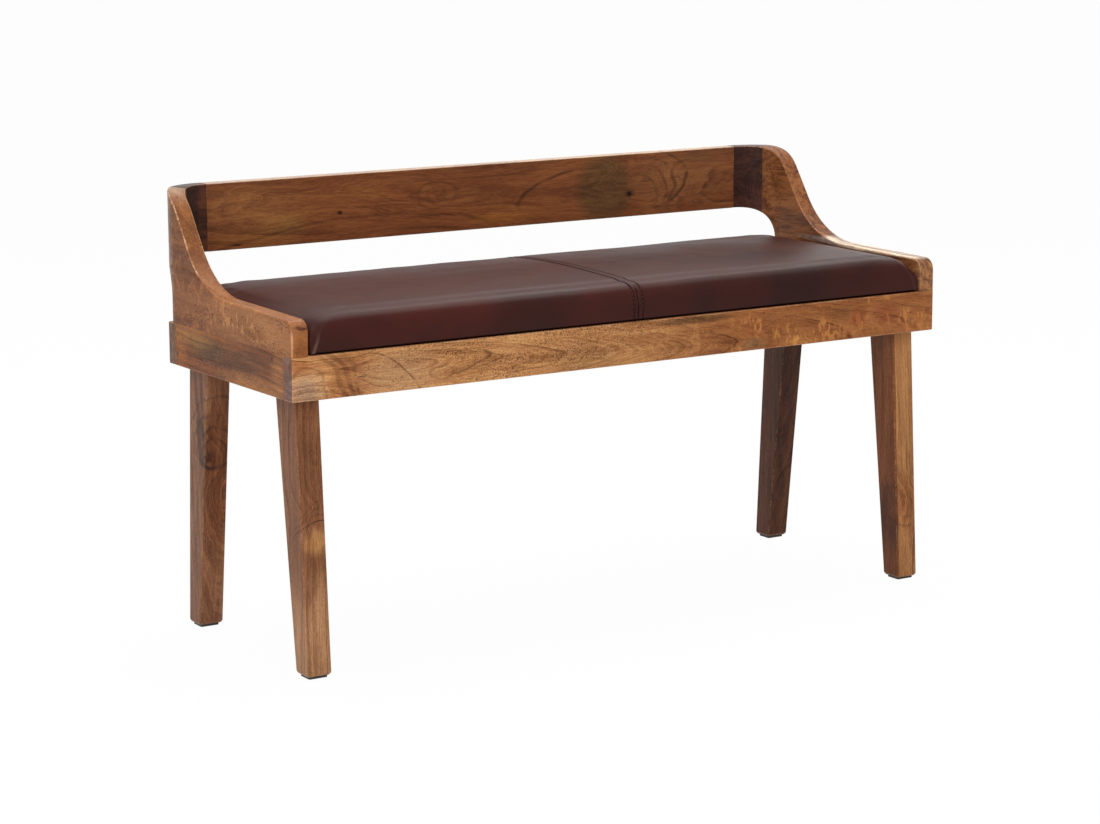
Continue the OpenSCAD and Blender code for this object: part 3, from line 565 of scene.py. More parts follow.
            ((0.516, -0.205, 0.115), (0.014, 0.03, 0.020), 0.3, 0.14),
            ((0.514, -0.205, 0.118), (0.030, 0.04, 0.038), 0.3, 0.09)]},
    "rearLeftLeg": {
        "node": "rear_left_leg", "slot": "brown_wood", "grain": "z", "seed": 52.9, "wear": 0.35,
        "pith": (-0.49, 0.05, 0.0), "lean": (0.0, 0.05, 0.0), "rings": 100.0, "lines": 0.45,
        "bands": 0.35, "pores": 0.4, "speckle": 0.55, "streaks": 0.35,
        "shades": [(174, 123, 85), (161, 113, 79), (133, 87, 60), (99, 61, 40), (50, 29, 24)],
        "swirls": [((-0.513, 0.10, 0.262), (0.03, 0.03, 0.045), 2.5)],
        "stainsAndPaintedLight": [
            ((-0.510, 0.095, 0.20), (0.020, 0.018, 0.22), (106, 53, 20), 0.6, 0.5),
            ((-0.532, 0.106, 0.301), (0.01, 0.012, 0.015), (83, 59, 36), 0.75, 0.6),
            ((-0.532, 0.100, 0.275), (0.01, 0.012, 0.022), (100, 59, 38), 0.6, 0.7),
            ((-0.526, 0.092, 0.257), (0.0072, 0.012, 0.0075), (58, 28, 22), 0.8, 0.6)],
        "veins": [
            ((-0.524, 0.085, 0.258), (0.010, 0.03, 0.012), 0.4, 0.14),
            ((-0.518, 0.085, 0.266), (0.018, 0.04, 0.024), 0.55, 0.12),
            ((-0.514, 0.085, 0.273), (0.024, 0.05, 0.032), 0.5, 0.09),
            ((-0.512, 0.085, 0.281), (0.030, 0.06, 0.041), 0.45, 0.07),
            ((-0.512, 0.085, 0.293), (0.036, 0.07, 0.055), 0.45, 0.05)]},
    "rearRightLeg": {
        "node": "rear_right_leg", "slot": "brown_wood", "grain": "z", "wear": 0.35, "seed": 58.2,
        "pith": (0.55, 0.2, 0.0), "lean": (0.0, 0.02, 0.0), "rings": 90.0, "lines": 0.4,
        "shades": [(116, 71, 44), (101, 60, 37), (79, 44, 29), (58, 31, 22), (32, 19, 15)]},
}
for index, side in enumerate(("left", "middle", "right")):
    boards[side + "CrossRail"] = {
        "node": side + "_cross_rail", "slot": "pale_wood", "grain": "y", "box": True,
        "seed": 64.0 + 5 * index, "pith": (0.31 * (index - 1) + 0.02, 0.0, 0.33 + 0.03 * index),
        "lean": (0.05, 0.0, 0.03), "rings": 160.0, "wander": 0.01, "lines": 0.5, "streaks": 0.3,
        "pores": 0.1, "speckle": 0.1, "wear": 0.2,
        "shades": [(237, 186, 126), (229, 176, 118), (213, 157, 99), (190, 128, 72), (138, 90, 52)]}

ease = {"width": 0.0018, "jointShare": 0.2, "jointGap": 0.0003, "segments": 3,
        "sharp": math.radians(25), "holeRim": 0.001, "closest": 0.002}


def looseCopy(node):  # a merged copy of a CAD node's mesh, with its flat faces whole again
    shape = bmesh.new()
    shape.from_mesh(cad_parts[node].data)
    bmesh.ops.remove_doubles(shape, verts=shape.verts, dist=1e-5)
    bmesh.ops.dissolve_limit(shape, angle_limit=math.radians(0.3), verts=shape.verts, edges=shape.edges)
    return shape


def isSharp(edge, angle=ease["sharp"]):
    return len(edge.link_faces) == 2 and edge.calc_face_angle() > angle


def mergeClose(shape):  # points too close together for the eased edges become one, but not round a hole
    rims = {vert for edge in shape.edges if isSharp(edge) and edge.calc_length() < ease["holeRim"]
            for vert in edge.verts}
    free = [vert for vert in shape.verts if vert not in rims]
    bmesh.ops.remove_doubles(shape, verts=free, dist=ease["closest"])
    return shape


def boxShape(node):
    low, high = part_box(node)
    shape = bmesh.new()
    bmesh.ops.create_cube(shape, size=1.0)
    bmesh.ops.scale(shape, vec=high - low, verts=shape.verts)
    bmesh.ops.translate(shape, vec=(low + high) / 2, verts=shape.verts)
    return shape


surfaces = {}
for board in boards.values():
    shape = looseCopy(board["node"])
    surfaces[board["node"]] = BVHTree.FromBMesh(shape)
    shape.free()


def isJoint(edge, node):  # an edge that lies on another board is a joint, and is eased less
    first, last = edge.verts[0].co, edge.verts[1].co
    close = 0
    for share in (0.2, 0.5, 0.8):
        point = first.lerp(last, share)
        close += any(tree.find_nearest(point, ease["jointGap"])[0] is not None
                     for name, tree in surfaces.items() if name != node)
    return close > 1


def easeEdges(piece, node, width):
    shape = bmesh.new()
    shape.from_mesh(piece.data)
    weight = shape.edges.layers.float.new("bevel_weight_edge")
    for edge in shape.edges:
        if isSharp(edge) and edge.calc_length() > ease["holeRim"]:
            edge[weight] = ease["jointShare"] if isJoint(edge, node) else 1.0
    shape.to_mesh(piece.data)
    shape.free()
    piece.data.materials.append(piece.data.materials[0])
    bevel = piece.modifiers.new("bevel", "BEVEL")
    bevel.limit_method, bevel.width, bevel.segments = "WEIGHT", width, ease["segments"]
    bevel.profile, bevel.material = 0.5, 1
    bevel.use_clamp_overlap = bevel.loop_slide = False   # sliding would carry points past one another
    bakeModifiers(piece)

    shape = bmesh.new()
    shape.from_mesh(piece.data)
    worn = shape.verts.layers.float.new("wornEdge")
    for vert in shape.verts:
        if vert.link_faces and all(face.material_index == 1 for face in vert.link_faces):
            vert[worn] = 1.0
    smoothFaces(shape)
    shape.to_mesh(piece.data)
    shape.free()
    dress(piece, piece.data.materials[0])
    addWeighted(piece)


for name, board in boards.items():
    shape = boxShape(board["node"]) if board.get("box") else mergeClose(looseCopy(board["node"]))
    material = woodMaterial(name, board)
    piece = newPiece(name, shape, material, board["slot"], board["node"])
    easeEdges(piece, board["node"], board.get("ease", ease["width"]))
print("scene:", len(boards), "boards")


# Seat pad

pad = {
    "voxel": 0.006, "cover": 0.0012, "underBand": 0.0015, "recess": 0.0016, "turnIn": 0.032,
    "edgeRoll": 0.0045, "edgeIn": 0.0024, "sideRoom": 0.0004, "frontRoom": 0.0006,
    "edgeFrom": 0.012, "edgeTo": 0.003, "ruffleUp": 0.01,
    "ruffles": ((0.0009, 9.0), (0.0003, 31.0)),                  # how high and how close together
    "rollWidth": 0.044, "rollHeight": 0.031, "rollFade": 0.05,
    "rollPower": 3.2,                                            # how full the front edge is, 2 is round
    "corner": 0.018, "cornerFade": (0.010, 0.040),
    "cornerPower": 22.0,                                         # how square the corners are near the rails
    "endFrom": 0.085, "endDrop": {-1: 0.008, 1: 0.015}, "endPower": 2.4, "endLift": 1.5,
    "hide": srgb(68, 29, 25), "hideDark": srgb(41, 22, 21), "hideWorn": srgb(64, 36, 27),
    # crease is the colour of the painted shade in the seam and under the pad's lower edge; crest is the
    # painted highlight on the pleats' folds
    "crease": srgb(16, 8, 7), "crest": srgb(138, 106, 98), "specular": 0.088,
    "specularTint": (0.94, 1.0, 0.86, 1.0),
}
swelling = {
    "frames": 20, "share": 0.4, "cap": 0.0015, "held": 0.008,
    "fabric": {"quality": 5, "mass": 0.3, "tension_stiffness": 15, "compression_stiffness": 15,
               "bending_stiffness": 2.0, "use_pressure": True, "uniform_pressure_force": 4.0,
               "vertex_group_mass": "held"}}
seam = {
    "x": 0.009, "rowAt": 0.0076, "groove": 0.0012, "grooveWidth": 0.0011,
    "flank": 0.0005, "flankRise": (0.0008, 0.003), "flankFall": 0.003,
    "rowDip": 0.0008, "rowWidth": 0.0009, "reach": 0.004, "lowFade": (0.002, 0.009), "startUp": 0.006,
    "endUp": 0.004, "pitch": 0.006, "stitch": (0.0042, 0.0008, 0.0008), "twist": 0.12,
    "thread": srgb(126, 92, 78), "threadDark": srgb(34, 20, 18),
}
pleat = {"height": 0.027, "raise": 0.0028, "reach": 0.05, "fineFrom": 0.036, "depth": 0.014,
         "from": 0.004, "slant": 0.011, "edge": 0.0008, "tail": 0.014, "foot": (0.0005, 0.004), "fade": 0.7,
         "crestAt": 0.001, "crestWidth": 0.0018, "hidden": 0.2}
ridge = {"raise": 0.0026, "above": 0.014, "height": 0.04, "depth": 0.04, "reach": 0.08, "from": 0.012,
         "slant": 0.022, "narrow": 0.004, "widen": 0.008}
padLow = Vector(map(min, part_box("left_leather_panel")[0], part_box("right_leather_panel")[0]))
padHigh = Vector(map(max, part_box("left_leather_panel")[1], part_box("right_leather_panel")[1]))


def leatherMaterial():
    material, wires, surface = newMaterial("oxbloodHide")
    place, facingUp = wires.place(), wires.part(wires.place("Normal"), 2)
    across, up = wires.part(place, 0), wires.part(place, 2)
    clouds = wires.remap(wires.noise(place, (5.0, 7.0, 7.0), 3.0, 0.55)[0], 0.34, 0.66, 0.0, 0.7)
    clouds = wires.maths("ADD", clouds, wires.remap(across, 0.25, -0.35, 0.0, 0.5), clamp=True)
    colour = wires.mix(clouds, pad["hideDark"], pad["hide"])
    rubbed = wires.remap(wires.noise(place, (9.0, 14.0, 14.0), 4.0, 0.6)[0], 0.45, 0.72, 0.3, 0.8)
    rubbed = wires.maths("MULTIPLY", rubbed, wires.remap(facingUp, 0.8, 1.0))   # sat on, so browner on top
    colour = wires.mix(rubbed, colour, pad["hideWorn"])
    pebbles = wires.add("ShaderNodeTexVoronoi", {"Vector": place, "Scale": 620.0},
                        feature="F1").outputs["Distance"]
    crease = wires.noise(place, (150.0, 150.0, 150.0), 4.0, 0.6)[0]
    height = wires.maths("MULTIPLY_ADD", crease, 1.2, wires.maths("MULTIPLY", pebbles, -0.8))

    # painted shade: dark in the seam's groove and in the crease where the leather turns under onto the rail,
    # with no reflection there; the two rows of stitch holes are darkened too, partly as painted shade
    away = wires.maths("ABSOLUTE", wires.maths("SUBTRACT", across, seam["x"]))
    row = wires.maths("ABSOLUTE", wires.maths("SUBTRACT", away, seam["rowAt"]))
    upright = wires.remap(facingUp, 0.95, 0.6)
    dark = wires.maths("MULTIPLY", wires.remap(away, 0.0016, 0.0004, 0.0, 0.6), upright)
    holesAndShade = wires.maths("MULTIPLY", wires.remap(row, 0.0025, 0.0010),
                        wires.remap(upright, 0.0, 1.0, 0.9, 0.5))
    under = wires.remap(up, padLow.z + 0.0042, padLow.z + 0.0018, 0.0, 0.92)
    dark = wires.maths("MAXIMUM", wires.maths("MAXIMUM", dark, holesAndShade), under)
    colour = wires.mix(dark, colour, pad["crease"])
    # painted highlight: paler leather along the ridges of the pleats' folds
    crest = wires.add("ShaderNodeAttribute", attribute_name="pleatHighlight").outputs["Fac"]
    colour = wires.mix(wires.maths("MULTIPLY", crest, 0.45, clamp=True), colour, pad["crest"])
    wires.plug(colour, surface.inputs["Base Color"])
    wires.plug(wires.remap(clouds, 0.0, 1.0, 0.35, 0.41), surface.inputs["Roughness"])
    wires.plug(bumpNormal(wires, height, 0.16, 0.0003), surface.inputs["Normal"])
    wires.plug(wires.remap(dark, 0.0, 1.0, pad["specular"], 0.0), surface.inputs["Specular IOR Level"])
    surface.inputs["Specular Tint"].default_value = pad["specularTint"]
    return material


def padShape():  # the foam's form, carried down to the rails
    shape = bmesh.new()
    shape.from_mesh(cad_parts["seat_foam"].data)
    bmesh.ops.remove_doubles(shape, verts=shape.verts, dist=1e-5)
    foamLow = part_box("seat_foam")[0].z
    shape.normal_update()
    outward = [vert.normal.copy() for vert in shape.verts]
    for vert, normal in zip(shape.verts, outward):
        vert.co += normal * pad["cover"]
        if vert.co.z < foamLow + 0.0005:
            vert.co.z = padLow.z - pad["voxel"]   # the remesh rounds this edge, which is cut off later
    return shape


hide = leatherMaterial()
padPiece = newPiece("seatPad", padShape(), hide, "oxblood_leather",
                    "left_leather_panel", "right_leather_panel", "seat_foam")
remesh = padPiece.modifiers.new("remesh", "REMESH")
remesh.mode, remesh.voxel_size, remesh.adaptivity = "VOXEL", pad["voxel"], 0.0
bakeModifiers(padPiece)
print("scene: pad remeshed,", len(padPiece.data.vertices), "points")

resting = [(vert.co.copy(), vert.normal.copy()) for vert in padPiece.data.vertices]
held = padPiece.vertex_groups.new(name="held")
held.add([vert.index for vert in padPiece.data.vertices if vert.co.z < padLow.z + swelling["held"]],
         1.0, "REPLACE")
cloth = padPiece.modifiers.new("cloth", "CLOTH")
cloth.collision_settings.use_collision = False
cloth.point_cache.frame_start, cloth.point_cache.frame_end = 1, swelling["frames"]
for key, value in swelling["fabric"].items():
    setattr(cloth.settings, key, value)
cloth.settings.effector_weights.gravity = 0.0
for step in range(1, swelling["frames"] + 1):
    bpy.context.scene.frame_set(step)
bakeModifiers(padPiece)
bpy.context.scene.frame_set(1)
for vert, (start, outward) in zip(padPiece.data.vertices, resting):
    move = outward * max(0.0, (vert.co - start).dot(outward)) * swelling["share"]
    if move.length > swelling["cap"]:
        move.length = swelling["cap"]
    vert.co = start + move
padPiece.vertex_groups.clear()
print("scene: pad swollen")

subdivide = padPiece.modifiers.new("subdivide", "SUBSURF")
subdivide.levels = subdivide.render_levels = 1
bakeModifiers(padPiece)


def trimUnderside(shape):  # a turned-in band of leather, with a recess for the board inside it
    inset = pad["turnIn"]

    def isUnder(face):
        return face.calc_center_median().z < padLow.z + pad["underBand"]

    for axis, at in (((1, 0, 0), padHigh.x - inset), ((1, 0, 0), padLow.x + inset),
                     ((0, 1, 0), padHigh.y - inset), ((0, 1, 0), padLow.y + inset)):
        under = [face for face in shape.faces if isUnder(face)]
        geometry = set(under)
        for face in under:
            geometry.update(face.edges)
            geometry.update(face.verts)
        bmesh.ops.bisect_plane(shape, geom=list(geometry), dist=1e-6, plane_no=axis,
                               plane_co=tuple(at * value for value in axis))
    middle = []
    for face in shape.faces:
        centre = face.calc_center_median()
        if isUnder(face) and padLow.x + inset < centre.x < padHigh.x - inset \
                and padLow.y + inset < centre.y < padHigh.y - inset:
            middle.append(face)
    floor = bmesh.ops.dissolve_faces(shape, faces=middle, use_verts=True)["region"]
    raised = bmesh.ops.extrude_discrete_faces(shape, faces=floor)["faces"]
    bmesh.ops.translate(shape, vec=(0, 0, pad["recess"]),
                        verts=list({vert for face in raised for vert in face.verts}))


def cutSeam(shape):
    rowAt = seam["rowAt"]
    cuts = [0.0, 0.0006, 0.0012, 0.0022, 0.0036, 0.0058]   # close together, to carry the furrows' forms
    cuts += [rowAt + step for step in (-0.0014, -0.0007, 0.0, 0.0007, 0.0014, 0.003)]
    for offset in cuts:
        for side in ((-1, 1) if offset else (1,)):
            cutAcross(shape, seam["x"] + side * offset, 1e-5)
    shape.normal_update()
    for vert in shape.verts:
        away = abs(vert.co.x - seam["x"])
        if away < rowAt + seam["reach"] and vert.co.z > padLow.z + seam["lowFade"][0]:
            raised = seam["flank"] * smoothStep(*seam["flankRise"], away)
            raised *= 1 - smoothStep(rowAt, rowAt + seam["flankFall"], away)
            sunk = seam["groove"] * math.exp(-(away / seam["grooveWidth"]) ** 2) * (1.2 - vert.normal.z)
            sunk += seam["rowDip"] * math.exp(-((away - rowAt) / seam["rowWidth"]) ** 2)
            vert.co += vert.normal * (raised - sunk) * smoothStep(*seam["lowFade"], vert.co.z - padLow.z)


def fuller(first, second, power):  # carries a point of a round quarter out to a squarer one
    first, second = max(first, 0.0), max(second, 0.0)
    squarer = (first ** power + second ** power) ** (1 / power)
    return math.hypot(first, second) / squarer if squarer > 0 else 1.0


def drawTight(shape):  # a full front edge, ends that fall to the arms, and nearly square lower corners
    width, tall, radius = pad["rollWidth"], pad["rollHeight"], pad["corner"]
    for vert in shape.verts:
        x, y, z = vert.co
        side = -1 if x < 0 else 1
        toEnd = padHigh.x - abs(x)
        centreY, centreZ = padLow.y + width, padHigh.z - tall
        power = 2 + (pad["rollPower"] - 2) * smoothStep(0.0, pad["rollFade"], toEnd)
        if y < centreY and z > centreZ:
            grow = fuller((centreY - y) / width, (z - centreZ) / tall, power)
            y, z = centreY + (y - centreY) * grow, centreZ + (z - centreZ) * grow
        share = min(1.0, max(0.0, (z - padLow.z) / (padHigh.z - padLow.z)))
        fall = max(0.0, 1 - toEnd / pad["endFrom"])
        z -= pad["endDrop"][side] * fall ** pad["endPower"] * share ** pad["endLift"]
        for front in (True, False):
            centreY = padLow.y + radius if front else padHigh.y - radius
            outY = (centreY - y) if front else (y - centreY)
            outX = abs(x) - (padHigh.x - radius)
            if outX > 0 and outY > 0:
                power = 2 + (pad["cornerPower"] - 2) * (1 - smoothStep(*pad["cornerFade"], z - padLow.z))
                grow = fuller(outX / radius, outY / radius, power)
                x = side * (padHigh.x - radius + outX * grow)
                y = centreY + (y - centreY) * grow
        vert.co = (x, y, z)


def foldPleat(shape, corner, end, seen, crest):  # the leather is tucked under beside the corner
    near = {edge for edge in shape.edges
            if all((vert.co - corner).length < pleat["fineFrom"] for vert in edge.verts)}
    bmesh.ops.subdivide_edges(shape, edges=list(near), cuts=1, use_grid_fill=True, smooth=0)
    shape.normal_update()
    for vert in shape.verts:
        offset = vert.co - corner
        if offset.length > pleat["reach"] or offset.z > pleat["height"]:
            continue
        climb = offset.z / pleat["height"]
        along = -end * offset.x - pleat["from"] - pleat["slant"] * climb   # distance from the fold's line
        fade = (1 - climb) ** pleat["fade"] * smoothStep(*pleat["foot"], offset.z)
        lift = smoothStep(-pleat["edge"], pleat["edge"], along)
        lift *= 1 - smoothStep(pleat["crestAt"], pleat["tail"], along)
        if abs(offset.y) < pleat["depth"]:
            vert.co += vert.normal * (lift * pleat["raise"] * fade * seen)
            # the fold's ridge is marked for a painted highlight
            line = math.exp(-((along - pleat["crestAt"]) / pleat["crestWidth"]) ** 2)
            vert[crest] = seen * line * min(1.0, 2 - 2 * climb)


def raiseRidge(shape, corner, end):  # a soft ridge goes on from the fold up to the crest
    for vert in shape.verts:
        offset = vert.co - corner
        climb = (offset.z - ridge["above"]) / ridge["height"]
        if 0 < climb < 1 and abs(offset.y) < ridge["depth"] and abs(offset.x) < ridge["reach"]:
            along = -end * offset.x - ridge["from"] - ridge["slant"] * climb
            hill = math.exp(-(along / (ridge["narrow"] + ridge["widen"] * climb)) ** 2)
            vert.co += vert.normal * (ridge["raise"] * hill * math.sin(math.pi * climb))


def foldPleats(shape):
    crest = shape.verts.layers.float.new("pleatHighlight")
    for end in (-1, 1):
        for depth in (-1, 1):
            corner = Vector((padHigh.x * end, padHigh.y if depth > 0 else padLow.y, padLow.z))
            seen = pleat["hidden"] if end > depth else 1.0   # the front right fold lies on the pad's end
            foldPleat(shape, corner, end, seen, crest)
            raiseRidge(shape, corner, end)


shape = bmesh.new()
shape.from_mesh(padPiece.data)
halfX = padHigh.x + pad["sideRoom"]
drawTight(shape)
for vert in shape.verts:  # the lower edge rolls in under itself, and the pad keeps clear of the arms
    vert.co.x = max(-halfX, min(halfX, vert.co.x))
    vert.co.y = max(padLow.y - pad["frontRoom"], vert.co.y)
    vert.co.z = max(padLow.z, vert.co.z)
    drop = 1 - (vert.co.z - padLow.z) / pad["edgeRoll"]
    if drop > 0:
        pull = pad["edgeIn"] * (1 - math.sqrt(max(0.0, 1 - drop * drop)))
        for axis in (0, 1):
            middle = (padLow[axis] + padHigh[axis]) / 2
            reach = (padHigh[axis] - padLow[axis]) / 2
            share = smoothStep(reach - pad["edgeFrom"], reach - pad["edgeTo"], abs(vert.co[axis] - middle))
            vert.co[axis] -= math.copysign(pull * share, vert.co[axis] - middle)
    ruffle = sum(noise.noise(vert.co * often) * high for high, often in pad["ruffles"])
    if vert.co.z > padLow.z + pad["ruffleUp"]:
        vert.co += Vector((0, 0, 1)) * ruffle
trimUnderside(shape)
cutSeam(shape)
foldPleats(shape)
smoothFaces(shape)
shape.to_mesh(padPiece.data)
shape.free()
dress(padPiece, hide)
print("scene: pad finished,", len(padPiece.data.polygons), "faces")


def seamPath(x):  # points along the pad's surface at one place along the bench, from the front over the top
    shape = bmesh.new()
    shape.from_mesh(padPiece.data)
    cutAcross(shape, x, 1e-6, clear_inner=True, clear_outer=True)
    low = padLow.z + seam["startUp"]
    start = min(shape.verts, key=lambda vert: vert.co.y * 2 + abs(vert.co.z - low))
    path, last, here = [start.co.copy()], None, start
    while True:
        ahead = [edge.other_vert(here) for edge in here.link_edges if edge.other_vert(here) is not last]
        if not last:
            ahead = sorted(ahead, key=lambda vert: -vert.co.z)
        if not ahead or ahead[0] is start:
            break
        last, here = here, ahead[0]
        if here.co.z < padLow.z + seam["endUp"] and here.co.y > 0:
            break
        path.append(here.co.copy())
    shape.free()
    return path


def sewStitches():
    shape = bmesh.new()
    luck = random.Random(11)
    for side in (-1, 1):
        path = seamPath(seam["x"] + side * seam["rowAt"])
        travelled, wanted = 0.0, seam["pitch"] / 2
        for first, last in zip(path, path[1:]):
            step = (last - first).length
            while step > 0 and travelled + step > wanted:
                point = first.lerp(last, (wanted - travelled) / step)
                along = (last - first).normalized()
                outward = Vector((1, 0, 0)).cross(along) * -1
                if outward.z < -0.2:
                    outward.negate()
                turn = Matrix((along, Vector((1, 0, 0)), outward)).transposed().to_4x4()
                twist = Matrix.Rotation(luck.uniform(-seam["twist"], seam["twist"]), 4, "Z")
                stitch = bmesh.ops.create_icosphere(shape, subdivisions=1, radius=0.5)["verts"]
                form = Matrix.Translation(point) @ turn @ twist @ Matrix.Diagonal((*seam["stitch"], 1.0))
                bmesh.ops.transform(shape, matrix=form, verts=stitch)
                wanted += seam["pitch"]
            travelled += step
    smoothFaces(shape)
    return shape


def threadMaterial():
    material, wires, surface = newMaterial("waxedThread")
    place = wires.place()
    twist = wires.add("ShaderNodeTexWave", {"Vector": place, "Scale": 900.0, "Distortion": 1.0},
                      bands_direction="DIAGONAL").outputs["Fac"]
    height = wires.part(place, 2)
    onFront = wires.remap(height, padHigh.z - 0.005, padHigh.z - 0.013)   # darker on top
    # and darker low on the front, near the pad's lower edge
    higherUp = wires.remap(height, padLow.z + 0.010, padLow.z + 0.028, 0.25, 1.0)
    thread = wires.mix(wires.maths("MULTIPLY", onFront, higherUp), seam["threadDark"], seam["thread"])
    wires.plug(wires.mix(twist, seam["threadDark"], thread), surface.inputs["Base Color"])
    wires.plug(bumpNormal(wires, twist, 0.5, 0.0002), surface.inputs["Normal"])
    surface.inputs["Roughness"].default_value = 0.6
    surface.inputs["Specular IOR Level"].default_value = 0.1
    return material


newPiece("seamStitches", sewStitches(), threadMaterial(), "oxblood_leather")
print("scene: seam sewn")


# Dust cover and its staples

cover = {"sag": 0.0022, "slack": 0.05, "cells": (70, 24), "thickness": 0.0006, "up": 0.0002,
         "colour": srgb(20, 20, 21), "fuzz": srgb(38, 37, 38)}
staple = {"pitch": 0.062, "inset": 0.007, "size": (0.0115, 0.0012, 0.0007), "down": 0.0001, "crooked": 0.25,
          "ease": 0.0002}
coverLow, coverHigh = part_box("dust_cover")


def clothMaterial():
    material, wires, surface = newMaterial("blackCloth")
    place = wires.place()
    dots = wires.add("ShaderNodeTexVoronoi", {"Vector": place, "Scale": 800.0, "Randomness": 0.35},
                     feature="F1").outputs["Distance"]
    fuzz = wires.noise(place, (300.0, 300.0, 300.0), 3.0)[0]
    colour = wires.mix(wires.remap(fuzz, 0.35, 0.65), cover["colour"], cover["fuzz"])
    wires.plug(colour, surface.inputs["Base Color"])
    wires.plug(bumpNormal(wires, dots, 0.5, 0.0003), surface.inputs["Normal"])
    surface.inputs["Roughness"].default_value = 0.9
    surface.inputs["Specular IOR Level"].default_value = 0.2
    return material


def sagCover():
    low, high = coverLow, coverHigh
    shape = bmesh.new()
    bmesh.ops.create_grid(shape, x_segments=cover["cells"][0], y_segments=cover["cells"][1], size=0.5)
    bmesh.ops.scale(shape, vec=(high.x - low.x, high.y - low.y, 1), verts=shape.verts)
    bmesh.ops.translate(shape, vec=((low.x + high.x) / 2, (low.y + high.y) / 2, high.z - cover["up"]),
                        verts=shape.verts)
    rails = [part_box(side + "_cross_rail") for side in ("left", "middle", "right")]
    for vert in shape.verts:
        toRail = min(max(rail[0].x - vert.co.x, vert.co.x - rail[1].x, 0) for rail in rails)
        toEdge = min(vert.co.x - low.x, high.x - vert.co.x, vert.co.y - low.y, high.y - vert.co.y)
        loose = smoothStep(0.0, cover["slack"], toRail) * smoothStep(0.0, cover["slack"], toEdge)
        wave = 0.7 + 0.6 * noise.noise(vert.co * 14.0)
        vert.co.z -= cover["sag"] * loose * wave
    return shape


coverPiece = newPiece("dustCover", sagCover(), clothMaterial(), "black_cloth", "dust_cover")
solid = coverPiece.modifiers.new("solid", "SOLIDIFY")
solid.thickness, solid.offset = cover["thickness"], 0.0
bakeModifiers(coverPiece)
for polygon in coverPiece.data.polygons:
    polygon.use_smooth = True


def metalMaterial(name, bright, dull, metallic, roughness):
    material, wires, surface = newMaterial(name)
    place = wires.place()
    grime = wires.remap(wires.noise(place, (140.0, 140.0, 140.0), 4.0, 0.6)[0], 0.4, 0.7)
    brush = wires.noise(place, (900.0, 90.0, 900.0), 2.0)[0]
    wires.plug(wires.mix(grime, bright, dull), surface.inputs["Base Color"])
    wires.plug(wires.remap(grime, 0.0, 1.0, roughness, roughness + 0.2), surface.inputs["Roughness"])
    wires.plug(bumpNormal(wires, brush, 0.15, 0.0001), surface.inputs["Normal"])
    surface.inputs["Metallic"].default_value = metallic
    return material


zincSteel = metalMaterial("zincSteel", srgb(196, 198, 200), srgb(140, 142, 146), 1.0, 0.28)
brass = metalMaterial("brassInsert", srgb(206, 170, 98), srgb(160, 124, 66), 1.0, 0.3)


def fireStaples():
    low, high = coverLow, coverHigh
    inset, luck = staple["inset"], random.Random(5)
    spots = []
    for length, fixed, axis in ((high.x - low.x, (low.y + inset, high.y - inset), 0),
                                (high.y - low.y, (low.x + inset, high.x - inset), 1)):
        count = int(length / staple["pitch"])
        for index in range(count):
            at = low[axis] + length * (index + 0.5) / count
            for other in fixed:
                spots.append((at, other, 0.0) if axis == 0 else (other, at, math.pi / 2))
    shape = bmesh.new()
    for x, y, turn in spots:
        verts = bmesh.ops.create_cube(shape, size=1.0)["verts"]
        crooked = Matrix.Rotation(turn + luck.uniform(-staple["crooked"], staple["crooked"]), 4, "Z")
        form = Matrix.Translation((x, y, low.z - staple["down"])) @ crooked
        bmesh.ops.transform(shape, matrix=form @ Matrix.Diagonal((*staple["size"], 1.0)), verts=verts)
    bmesh.ops.bevel(shape, geom=shape.edges[:], offset=staple["ease"], affect="EDGES", segments=1,
                    profile=0.5, material=-1)
    return shape


newPiece("coverStaples", fireStaples(), zincSteel, "steel")
print("scene: dust cover and staples")


# Glides, fasteners and the hidden wood

plastic = {"colour": srgb(34, 32, 31), "worn": srgb(70, 66, 62)}
fittings = {"sharp": math.radians(40), "glides": 0.0007,   # how wide their eased edges are
            "metal": {"legBolts": ("leg_bolts", 0.0005), "legWashers": ("leg_washers", 0.0003)}}


def plasticMaterial():
    material, wires, surface = newMaterial("blackPlastic")
    place = wires.place()
    scuff = wires.remap(wires.noise(place, (90.0, 90.0, 260.0), 4.0, 0.6)[0], 0.5, 0.72, 0.0, 0.6)
    fine = wires.noise(place, (1400.0, 1400.0, 1400.0), 2.0)[0]
    wires.plug(wires.mix(scuff, plastic["colour"], plastic["worn"]), surface.inputs["Base Color"])
    wires.plug(bumpNormal(wires, fine, 0.3, 0.0001), surface.inputs["Normal"])
    surface.inputs["Roughness"].default_value = 0.5
    return material


def softened(node, width):  # a CAD node's shape with its sharp edges rounded
    shape = looseCopy(node)
    sharp = [edge for edge in shape.edges if isSharp(edge, fittings["sharp"])]
    bmesh.ops.bevel(shape, geom=sharp, offset=width, affect="EDGES", segments=2, profile=0.5,
                    material=-1, clamp_overlap=True)
    smoothFaces(shape)
    return shape


blackPlastic = plasticMaterial()
for end in ("front", "rear"):
    for side in ("left", "right"):
        name, node = end + side.capitalize() + "Glide", f"{end}_{side}_glide"
        shape = softened(node, fittings["glides"])
        addWeighted(newPiece(name, shape, blackPlastic, "black_plastic", node))
for name, (node, width) in fittings["metal"].items():
    addWeighted(newPiece(name, softened(node, width), zincSteel, "steel", node))

ply = {"thickness": 0.0015, "light": srgb(214, 180, 134), "dark": srgb(188, 148, 102),
       "glue": srgb(120, 82, 50)}


